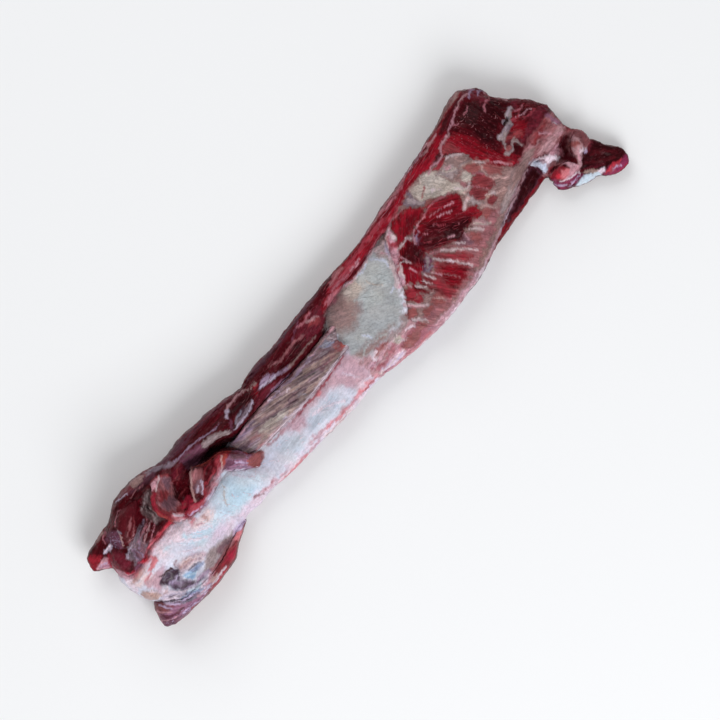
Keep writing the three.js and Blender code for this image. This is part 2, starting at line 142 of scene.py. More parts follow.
# %% Copy, divide and relax each solid
def skin(node, name, cell, rounds):
    """A finely divided, relaxed copy of a solid. It rides the rib and stands for the solid."""
    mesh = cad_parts[node].data.copy()
    shape = bmesh.new()
    shape.from_mesh(mesh)
    bmesh.ops.remove_doubles(shape, verts=shape.verts, dist=MERGE * MM)
    shape.to_mesh(mesh)
    shape.free()
    piece = bpy.data.objects.new(name, mesh)
    bpy.context.scene.collection.objects.link(piece)
    divide = piece.modifiers.new("divide", "REMESH")
    divide.mode = "VOXEL"
    divide.voxel_size = cell * MM
    view = bpy.context.evaluated_depsgraph_get()
    fine = bpy.data.meshes.new_from_object(piece.evaluated_get(view))
    piece.modifiers.clear()
    piece.data = fine
    fine.name = name
    edges = np.empty(len(fine.edges) * 2, np.int32)
    fine.edges.foreach_get("vertices", edges)
    put_places(piece, relax(get_places(piece), edges.reshape(-1, 2), rounds))
    fine.polygons.foreach_set("use_smooth", np.ones(len(fine.polygons), bool))
    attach(piece, "root")
    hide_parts(node)
    print(name, "has", len(fine.polygons) * 2, "triangles")
    return piece


# The numbers are the size of the cells in millimetres and the rounds of relaxing
bone = skin("rib_bone", "bone", 0.85, 45)
meat = skin("rib_meat", "meat", 0.82, 14)
flap = skin("silverskin_flap", "silverskin_sheet", 0.45, 12)
remnant = skin("knuckle_meat", "knuckle_remnant", 0.6, 20)

# %% [markdown]
# ## Tissues
# A butcher would name a few dozen tissues on this rib: fresh and dried muscle, silverskin, fascia, fat, wet
# bone and gristle. One noise texture for each material would mix them anywhere, but on a real rib each has
# its place. So each tissue is named here once: its colour, how wet it is, how strongly its fibres show, how
# much fat is flecked through it and how creased it is.

# %% The palette of tissues
TISSUES = {
    # name: (red, green, blue, wet, fibre, fleck, crease)
    "maroon": (66, 8, 16, 0.6, 0.9, 0.12, 0),
    "dark maroon": (46, 6, 11, 0.6, 0.8, 0.1, 0),
    "black red": (30, 12, 14, 0.7, 0.3, 0, 0),
    "wine": (92, 26, 38, 0.6, 0.8, 0.2, 0),
    "red": (108, 12, 24, 0.6, 0.9, 0.12, 0),
    "ruby": (156, 62, 74, 0.6, 0.6, 0, 0),
    "rose": (172, 104, 116, 0.6, 0.4, 0, 0.6),
    "pale rose": (192, 140, 152, 0.6, 0.3, 0, 0.7),
    "plum": (100, 58, 76, 0.6, 0.6, 0, 0.3),
    "clay": (118, 68, 72, 0.5, 0.6, 0.1, 0),
    # The next tissue is painted shade: the dark grey of membrane in grooves and folds.
    "dusk": (66, 44, 54, 0.6, 0.5, 0, 0),
    "slate": (130, 124, 138, 0.7, 0.2, 0, 0.6),
    "pearl": (184, 170, 190, 0.6, 0.15, 0, 0.6),
    "milk": (232, 212, 224, 0.6, 0.1, 0, 0.6),
    "straw": (176, 140, 132, 0.5, 0.3, 0, 0.8),
    "curd": (178, 164, 156, 0.5, 0.15, 0, 0.9),
    "ash": (152, 134, 136, 0.5, 0.25, 0, 0.8),
    "brick": (140, 78, 78, 0.5, 0.5, 0, 0.3),
    "garnet": (132, 40, 50, 0.6, 0.8, 0.1, 0),
    "poppy": (196, 50, 66, 0.7, 0.4, 0, 0.3),
    "grape": (128, 44, 76, 0.7, 0.5, 0, 0.3),
    "veil": (176, 158, 170, 0.6, 0.2, 0, 0.6),
    "plate": (78, 18, 26, 0.6, 0.35, 0.05, 0),
    "crimson": (150, 34, 54, 0.7, 0.4, 0, 0.5),
    "cream": (228, 204, 206, 0.5, 0.1, 0, 0.3),
    "sky": (193, 214, 228, 0.6, 0.06, 0, 0.2),
    "lilac": (200, 178, 210, 0.6, 0.1, 0, 0.4),
    "umber": (58, 18, 22, 0.6, 0.5, 0, 0),
    "rust": (146, 62, 56, 0.6, 0.4, 0, 0.4),
    "fresh red": (124, 16, 30, 0.7, 0.9, 0.15, 0),
    "scarlet": (142, 34, 46, 0.7, 0.5, 0, 0),
    "salmon": (205, 118, 126, 0.6, 0.3, 0, 0.5),
    "brown red": (124, 50, 55, 0.5, 0.8, 0.1, 0.2),
    "rose brown": (148, 94, 99, 0.5, 0.7, 0.1, 0.5),
    "beige": (138, 108, 106, 0.5, 0.5, 0, 0.7),
    "beige rose": (172, 130, 136, 0.5, 0.4, 0, 0.8),
    "tan": (190, 152, 150, 0.4, 0.3, 0, 0.6),
    "peach": (208, 186, 190, 0.4, 0.1, 0, 0.5),
    "deep purple": (74, 38, 50, 0.6, 0.6, 0, 0),
    "mauve": (112, 78, 88, 0.6, 0.6, 0, 0.5),
    "violet": (140, 96, 120, 0.7, 0.5, 0, 0.5),
    "lavender": (150, 126, 150, 0.7, 0.3, 0, 0.5),
    "fascia": (118, 100, 110, 0.6, 0.5, 0, 0.6),
    "grey fat": (86, 66, 68, 0.5, 0.4, 0.5, 0.8),
    "fat": (176, 146, 156, 0.6, 0.2, 0, 0.9),
    "pink fat": (196, 152, 166, 0.6, 0.2, 0, 0.9),
    "ice": (196, 200, 218, 0.8, 0.12, 0, 0.6),
    "window": (160, 161, 163, 0.5, 0.16, 0, 0.5),
    "window brown": (140, 114, 112, 0.5, 0.16, 0, 0.5),
    "window light": (170, 172, 172, 0.5, 0.16, 0, 0.6),
    "bone": (209, 207, 221, 0.5, 0.08, 0, 0.3),
    "bone blue": (198, 212, 226, 0.6, 0.08, 0, 0.3),
    "bone grey": (192, 190, 204, 0.5, 0.08, 0, 0.3),
    "bone rose": (190, 154, 167, 0.5, 0.1, 0, 0.5),
    "bone pink": (216, 196, 212, 0.5, 0.08, 0, 0.5),
    "bone shade": (184, 190, 203, 0.4, 0.3, 0, 0),
    "pit": (74, 54, 74, 0.8, 0.3, 0, 0.5),
    "blue grey": (130, 140, 170, 0.8, 0.3, 0, 0.5),
    "wet blue": (146, 178, 210, 1, 0.05, 0, 0),
    "silverskin": (124, 98, 102, 0.5, 1, 0, 0),
    "silverskin tan": (154, 128, 120, 0.4, 0.8, 0, 0),
    "silverskin grey": (114, 93, 106, 0.5, 1, 0, 0),
    "silverskin brown": (78, 53, 62, 0.5, 1, 0, 0),
}


# Columns of a tissue's values
LIGHT, NATURE, FIBRE, CREASE = slice(3), slice(3, 6), 4, 6


def linear(byte):
    """A screen value from 0 to 255 as light from 0 to 1."""
    value = np.asarray(byte) / 255
    return np.where(value < 0.04045, value / 12.92, ((value + 0.055) / 1.055) ** 2.4)


def tissue(name):
    """A tissue's light colour, then its wetness, fibre, fleck and crease."""
    row = TISSUES[name]
    return np.concatenate([linear(row[LIGHT]), row[3:]])


print(len(TISSUES), "tissues")

# %% [markdown]
# ## Where each tissue lies
# Painting by hand with a brush would not be repeatable, so the places are written down as rows of a table.
# A row gives a tissue, its soft edge or width, how far it wanders, how far it lifts the surface, and its
# points in millimetres, seen from above. The sign o stands before the outline of a patch, and ~ before the
# line of a strand. The angle of the fibres follows @ where they matter. Later rows lie over earlier ones.

# %% Reading the tables
SIGNS = {" o ": "patch", " ~ ": "strand"}


def corners(text):
    """The points of a row as an array."""
    return np.array([[float(n) for n in pair.split(",")] for pair in text.split()])


def read_rows(table):
    """The rows of a table. An indented line carries on the line above it."""
    found = []
    for line in table.replace("\n  ", " ").splitlines():
        for sign, kind in SIGNS.items():
            if sign in line and not line.startswith("#"):
                head, points = line.split(sign)
                points, _, grain = points.partition(" @")
                *name, soft, wander, lift = head.split()
                sizes = [float(soft), float(wander), float(lift)]
                found.append((kind, " ".join(name), *sizes, corners(points), float(grain) if grain else None))
    print(len(found), "patches and strands")
    return found


# %% Patches and strands of the knuckle end
# The black red wedge below is painted shadow in the deep fold on the far side of the ruffle.
# The lilac strand below is a painted highlight along the lower rim of the remnant.
# The pale rose strand below is a painted highlight on the lower band of the ruffle.
# The white strand below is a pale edge of fat, with its highlight painted in.
KNUCKLE_END = read_rows("""
maroon 2 1 0 o -171,40 -160,56 -140,62 -112,54 -112,46 -130,28 -150,29 -163,28
maroon 1 0.8 0 o -180,48 -177,53 -173,56 -157,57 -158,53 -163,51 -166,49 -169,48
scarlet 2.4 1 0.2 o -180,48 -178,52.5 -175,54.5 -171,53 -169,50 -172,48.4 -176,47.4
pale rose 0.8 0.6 0 o -177.6,47 -174,48 -168,48 -166.5,45.6 -168.4,42 -170,40.5 -173,43
violet 1.2 0.5 0 ~ -174.5,46.2 -171.6,44 -170,41.4
lilac 0.8 0.5 0.2 ~ -175,46.8 -171,45.6 -168.4,43.6
pearl 0.6 0.5 0.4 o -168,48.6 -165,49.5 -161,49.2 -158.3,48 -159,46.5 -162,46.7 -165,47.4
milk 1 0.5 0.3 ~ -165.6,48.7 -162.4,48.5 -160,47.8
crimson 1.4 0.8 0 o -171.6,40 -169.6,44 -165.6,46.6 -163,44 -166.6,40 -168.6,34 -166,30.4 -161,28 -166,27.4
  -170,30 -172.6,35
wine 2.4 0.8 -0.3 o -168.6,42 -165,45 -160.6,45.6 -159.6,38 -160.6,31.4 -166,31.8 -168.4,36
salmon 1.4 0.8 0 o -170,29.4 -165,28.8 -160,27.4 -160,25.8 -166,26.6 -170,27
plum 1.6 0.8 0 o -163,30.4 -160,31 -157,27.6 -161,27 -165,28.4
rose 1.3 0.8 0.1 ~ -171.6,38 -170.6,33 -167,29.6 -161.6,27.6
maroon 1.4 1 0 o -161,53 -156,55.5 -150,56 -149,52 -153,46 -158,44 -160,48
plum 1.4 1.1 0 o -160,52 -155,53.6 -151.6,50 -152.6,46 -157.6,41.6 -159.6,45
rose 0.9 0.6 0.4 ~ -161.4,51.4 -160.8,53.4 -158.5,54.5 -156,54.6
lavender 0.7 0.5 0.2 ~ -158,50 -156,47 -155,44.4
beige 0.7 0.5 0.2 o -165,55.6 -162,57.4 -157,56.6 -158,55.4 -162,55
maroon 1.6 1 0 o -157,55.6 -150,57.6 -141,60.6 -134,60 -130,57 -134,52 -144,56 -150,53
plate 0.8 0.6 0.7 o -155.4,42.4 -152,47 -149.3,51.8 -147,54 -143.3,55.4 -139.6,54.4 -132,50.4 -137,47.8
  -141.4,44.6 -145.7,41.2 -149.3,40 -153.6,40.2 @32
plate 2 1 0 o -151,48 -145,54.4 -138,52.6 -133,50.2 -141,45.6 -148,43 @32
rose brown 0.8 0.6 0.1 ~ -151,44 -146,45.6 -141,48
rose brown 0.6 0.6 0.1 ~ -153,42 -148,42.4 -144,44.6
tan 0.8 0.4 0.4 ~ -156,42.6 -154.6,44.6 -152.6,46.6 -151,49.4
rose 0.9 0.4 0.4 ~ -149.6,52.4 -146,54.2 -143.2,55.6 -141.6,54.8
slate 1.2 0.4 0.3 ~ -151.4,48.8 -151,47.2
fascia 1.2 1.2 0.3 o -160,36 -156.6,40.4 -150,41 -143,41.6 -139,41 -140,39 -146,36.5 -148.6,32.4 -151,30.4
  -158.6,28.5 -160,32 @20
mauve 1.2 1 0 o -157.6,30.4 -156,35.6 -151,36.6 -148.4,33.6 -150.6,31 -155,29.4 @70
pearl 1.1 0.8 0.3 ~ -160,36.6 -157,38.6 -153.6,39
lavender 1 0.8 0.3 ~ -158.6,30.4 -157.6,34.6 -155,37.6
lavender 0.8 0.8 0.3 ~ -155.6,30 -154,33 -154.4,36.4
plum 1.3 1 -0.2 ~ -157,32 -155.6,36
maroon 1 1 -0.2 o -149,31.6 -145,34.6 -140,36.6 -134,38 -131.6,34 -133,29.6 -140,29 -147,29.8
umber 1 0.8 -0.3 o -144,33 -138,35 -132.6,37.4 -132,32.6 -138,31.4
rose 1 1 0.3 ~ -149.4,36.6 -145,38.4 -140,38.8 -137,40.6
beige rose 0.9 1 0.3 ~ -148,33.4 -143.6,35.6 -139,37.4 -134,38.4
lavender 0.8 1 0.3 ~ -152,34.6 -147,38 -143,40.4 -139,41.4
rose 0.8 0.8 0.3 ~ -145,31 -141,33.6 -136,35.4
umber 1 0.8 -0.2 ~ -148,37.4 -142,39.6 -137,40
grey fat 1.2 1.4 0.5 o -136.6,43.5 -133,47.5 -128.5,49.6 -123.5,49.6 -122.5,46.5 -127,44 -129.6,40 -130,34
  -132,32.6 -135.6,35.5
ash 0.8 1 0.3 ~ -134.6,46 -131,47 -127.6,48.6
ash 1.4 0.8 0.1 ~ -135.6,35 -134,39 -132.6,45
ash 0.7 0.8 0.3 ~ -131.6,36.6 -131,40 -130.6,43
black red 1 0.8 -0.2 ~ -134.6,40.6 -132,43.6 -128,46.6
ash 0.7 0.8 0.3 ~ -129,46 -126.6,47.6 -124.6,48
poppy 1.6 0.7 0.2 o -159,30.6 -154,29.6 -149,31.4 -143,31 -136,30.4 -129.6,30 -130,27.2 -138,27.6 -146,28.8
  -153,26.6 -158.6,26.8
maroon 1.6 0.8 0 ~ -158,30.6 -154.6,28.2 -150.6,29.4
pale rose 1.4 0.5 0.2 ~ -159,26.8 -153,26.4 -148,28.4 -142,28.2 -136,27.2 -130,26.8
deep purple 1.5 1 0 o -134,59 -128,61 -115,55.5 -112,51 -121,50.5 -127,53 -131,56
wine 0.8 0.6 0 o -139,59.8 -131,60.8 -127.5,59.5 -126.5,56 -132,57 -137,58.5
beige 0.7 0.6 0.3 o -128.3,60 -124,60.6 -119.5,58 -119.2,55.5 -122.5,54.7 -127.3,56
pearl 0.9 0.5 0.3 ~ -139.5,60.2 -137,58.8 -132,57.6
clay 0.8 0.8 0 o -119,57 -116,56 -113.5,54.3 -117,54.3 -119.5,55.3
dark maroon 1.2 1 -0.1 ~ -134,52.4 -129,53.6 -123,51.6
rose brown 0.7 0.8 0.2 ~ -133,54.6 -128.6,54.8 -124,53.2
# The curled ribbon
brown red 0.7 0.4 0 o -130.5,41 -126.5,45.3 -121.8,47 -119.3,51 -115,49.8 -110,45.5 -113,41.6 -117.6,36
  -119.5,31.5 -122.6,25.5 -126,22.5 -130.5,29 -131,37
rose brown 1 0.6 0 o -127.3,40 -123,43.5 -119,46.3 -115,48.6 -110.6,45.3 -113,41.5 -117.3,36.4 -119.5,33
  -119.9,30.6 -124,30.5 -127,32.5 -128,36 @60
mauve 1.6 0.8 0 o -127,38 -124.6,40 -120.6,38 -118.6,35.6 -120,31.6 -124,31 -126.8,33.4 @60
brown red 1.6 1 0 o -125,42 -121.4,44 -118.6,42 -118,39 -121,37.6 -125,39 @60
mauve 1.4 0.8 0 o -118,41.6 -115,46.6 -112,46.6 -110.8,44.6 -113.6,41.6 -116.4,39.6 @60
pale rose 0.8 0.5 0.3 o -122.7,46.9 -120,50.4 -117.6,50 -114.4,48.8 -113.4,47.2 -116.6,47.4 -119.6,45.6
peach 0.9 0.4 0.4 ~ -122,45.2 -119.6,46.6 -116.6,47.6 -114.4,49
crimson 1.6 0.6 0.3 ~ -129.6,30 -129.8,36 -128.9,41 -125.7,44.2 -122.5,45.3
rust 1 0.6 0.3 ~ -129.8,28.6 -130.2,34 -129.8,38.6
rose brown 0.8 0.4 0.3 ~ -113,41.4 -117.4,36.2 -119.7,32.6 -120.2,30.4
salmon 1 0.6 0.2 o -129,30 -127.4,31.4 -124,27.6 -121.6,23.6 -125,22.4 -128,26
milk 1.5 0.4 0.4 ~ -127.2,29.9 -125.7,27.6 -124,25.4
# The hollow between the ribbon and the strip
maroon 1 0.6 0 o -119.5,34 -116,38.3 -111,43 -108,45.5 -101,45.3 -100,40 -104,36 -108,33 -111,29 -113,26
  -119,27
wine 1 0.8 0.2 o -112,41 -110,44.2 -105,44.6 -101.5,43.5 -102.5,39 -108,37.6 @-10
umber 1 0.6 -0.2 o -119.8,33.6 -118,36.6 -114,41 -113.6,39 -116.6,34.6 -118.6,32
brown red 0.8 0.7 0.2 ~ -118,33.4 -114,33.6 -110.6,32.8
brown red 0.7 0.7 0.2 ~ -113,41.6 -109,41 -105,42.4
brown red 0.7 0.7 0.2 ~ -112.6,38.4 -108,39.4 -103.6,38.8
crimson 1 0.8 0.2 o -122.4,28.5 -119,30.3 -114,30.2 -112.5,29 -114,25.6 -119,26
brown red 0.9 0.6 0.2 o -121,28.6 -119,29.4 -117.6,28.4 -119.6,27.6
# The ruffle
garnet 0.8 0.5 0 o -109,24 -104,28 -98,30 -90,31 -84,29 -80,24.5 -77.5,20 -88,20.3 -97,20 -108,20 @12
garnet 1.4 1 0.1 o -108,23.6 -102,25 -98,26.6 -91,28.6 -84,27.6 -81,25 -86,22 -95,20.6 -106,21 @12
maroon 1.2 0.8 0 o -104,27.6 -98,29.4 -91,30.4 -86,29.6 -90,27.4 -96,26.4 -101,25.6 @12
clay 1 0.6 0 o -112,28 -108.5,31.8 -105,35.2 -100.4,37.2 -97,34.4 -97,31 -99,29.8 -103,26.4 -107,23.8 @25
mauve 1.2 0.8 0.1 o -110,28.6 -106.5,31 -101.5,29.6 -102.6,27.4 -107,24.4 -109.4,25.6 @25
rose brown 1 0.6 0.1 o -106,33.6 -101.6,36.4 -98,34.6 -101,32 -104.6,31.4 @25
umber 1 0.6 -0.1 o -100,36.4 -95,33.4 -90,31 -94.6,31.2 -99,33.4 @25
pearl 0.8 0.8 0.3 ~ -108.6,24.4 -105.6,25.6 -102.4,28.4
pearl 0.8 0.5 0.3 ~ -109,26.4 -107,28 -105.6,28.2
tan 1.2 0.6 0.3 ~ -113.6,25.3 -110.8,28.5 -107.4,32.4 -103,35.8 -100.4,36.8
rust 1.2 0.5 0.3 ~ -100,36.6 -95.4,33.6 -90.4,31 -86,30 -83.4,28.4 -80.6,24.4 -78,20.4
rust 1 0.6 0.1 o -93,22.6 -88,25.4 -84.6,27.6 -82.6,26.6 -84.6,24 -89,22
tan 0.7 0.5 0.2 ~ -92.4,22.8 -88.6,25 -85,27.2
pale rose 0.8 0.6 0.3 ~ -96,22.2 -93.4,23.2 -91,23.4
dark maroon 1 0.7 0 ~ -104,24.4 -99,24 -95,24.8 -92,26.4
ruby 1.1 0.8 0 o -125.7,23.6 -122,26 -117.5,25.4 -112.5,23 -108,21.6 -101,20.6 -107,19 -112,18.4 -117,19
  -121,20.4 -124.6,21.4
crimson 1.2 0.7 0 ~ -125,24.6 -121,25.6 -117,24.6 -112,22.4 -107,21 -100,20.6
lilac 1 0.8 0.2 ~ -122,22.4 -119,21.6 -116.6,20.2
lilac 0.9 0.6 0.2 ~ -115,19.6 -111.6,18.8 -107,19.4 -103,20.2
violet 0.9 0.6 0 ~ -111,20.6 -107,19.8 -103,20
salmon 0.8 0.6 0 o -128,17.6 -125.5,20.8 -121.8,20.4 -121.6,18.4 -125.5,17.6
violet 1 0.8 0 o -91,20.6 -86,22.6 -81,22.4 -77.6,20 -76.8,17.5 -78.5,14 -79,10 -82,10.4 -86.4,14 @-50
crimson 1.2 0.8 0 o -82,22.6 -78,20.6 -76.8,17 -78.6,13.6 -81,12.6 -80.4,17 -83,20 @-60
lavender 1 0.8 0.1 o -90.6,20.4 -87.6,20.6 -83,14 -81.6,11 -84.4,12.4 -88,16.8 @-50
milk 0.9 0.6 0.3 ~ -84.8,16.4 -83.4,15.4 -82.4,14.2
lilac 0.7 0.6 0.3 ~ -86,19.4 -83.4,18.6 -81,17
crimson 1.4 0.6 0.2 o -79,17 -77,14 -75.5,12.9 -69.4,11 -74,8.2 -77.5,6.8 -80.8,9 -80.6,12
scarlet 1.6 0.5 0 ~ -80,12.6 -78,8.4 -75,7.6 -71,9.6
rose 0.8 0.5 0.2 ~ -79,12.6 -76.6,11 -73.6,10.8
scarlet 0.9 0.5 0.2 ~ -79.6,9.6 -77.4,8.2 -75,8.8
black red 0.9 0.4 0 o -102,36 -95,36 -86,35.5 -82,34 -81.5,30 -80,28 -83.8,29.5 -90,31.8 -96,33.6
umber 0.9 0.4 0 o -82,31 -78.6,27 -76.4,21 -74,16.6 -73.6,14 -75,14 -77,18.8 -79.4,23 -83.4,28.6
rust 0.9 0.5 0.1 ~ -79.6,26.4 -77.6,21.6 -75.8,17.4
# The remnant of muscle on the low side of the knuckle
violet 1.2 0.8 0 o -182,0 -175,8 -173.3,12 -169,7.5 -169.5,2 -166,-1 -158,-5 -150,-9 -150,-12 -165,-9
  -180,-6 @-40
clay 1.2 0.8 0 o -174,11.6 -169.8,8 -169.6,4 -172,1.6 -175,3.4 -176.6,6 @-50
plum 1 0.8 0 o -181.4,0 -178,3.4 -175.5,0.5 -173,-3 -169,-5.6 -176,-5.8 -181,-4
maroon 1.6 1 0 ~ -177,4 -174.6,0 -170,-2.6 -165,-4.4
pale rose 1 0.8 0.3 ~ -175.6,6.6 -173.6,3 -171,0
lilac 0.9 0.8 0.3 ~ -172.6,7.4 -171,4 -169,1
pale rose 0.8 0.8 0.2 ~ -178.6,1.6 -175.6,-1.6 -172,-3.6
plum 1.4 0.8 0 ~ -179,-3.6 -173,-6.4 -167,-7.8 -159,-9.2
lilac 1 1 0.2 ~ -168,-5.6 -162,-7.4 -156,-8.8 -151,-9.8
crimson 1.3 0.7 0 ~ -163,-8.4 -156,-10 -149,-11.2 -141,-11.6
brown red 1.2 0.9 0 o -141,-3 -134,-4 -128,-2.6 -120,-2 -117,-3.4 -118,-6 -120,-8.8 -126,-12 -134,-12
  -140,-9
rose brown 1.2 0.8 0 o -129,-2.4 -124,-1.6 -119.6,-2 -119,-5 -124,-5.4 -128.6,-4.6
brown red 2.4 0.8 0 o -139.6,-4.6 -133,-5.4 -127,-5.4 -121,-6.4 -120.5,-9.3 -127,-11.6 -133,-10.6 -138,-8
garnet 2.4 0.8 0 o -135,-7 -128,-6.6 -123,-7.6 -124,-9.6 -129,-10.4 -134,-9.4
crimson 1.2 0.6 0 o -131,-8 -127,-7 -121.6,-7.6 -122.6,-10 -127,-11.4 -130,-10
tan 1 0.8 0.2 o -147,-7 -143,-6.4 -138.6,-8 -140,-9.2 -145.6,-9
milk 1 0.7 0.2 ~ -146,-9.6 -140,-9.8 -134,-9.6
crimson 1.2 0.7 0 ~ -148,-10.8 -141,-11.2 -134,-11.2
salmon 1 0.8 0 o -119.6,-4 -114,-4 -111,-5 -114,-6.8 -118.6,-7.4
lilac 1 0.7 0 o -118,-1.6 -111,-1.6 -105,-2.8 -108,-4.4 -114,-4
# Skin that joins the remnant to the bone
umber 1 0.5 0.2 ~ -170.6,9.6 -169.6,7.4 -168.8,5.8
lilac 1.6 0.4 0.25 ~ -168.6,4.6 -166.6,0.6 -162.6,-2.6
slate 1.6 0.4 0.25 ~ -163.4,-2 -159,-4.6 -155,-6.6
pale rose 1.6 0.4 0.25 ~ -155.6,-6.2 -150.6,-8 -147,-6.8
pale rose 1.6 0.4 0.25 ~ -148,-7 -144,-5.8 -139,-5.4
rose brown 1.6 0.4 0.25 ~ -140,-5.4 -134,-5.2 -127.6,-4.4
rose brown 1.6 0.4 0.25 ~ -128.6,-4.6 -122,-3.6 -115.6,-3
lilac 1.6 0.4 0.25 ~ -117,-3 -111,-2.8 -106,-3.4
""")
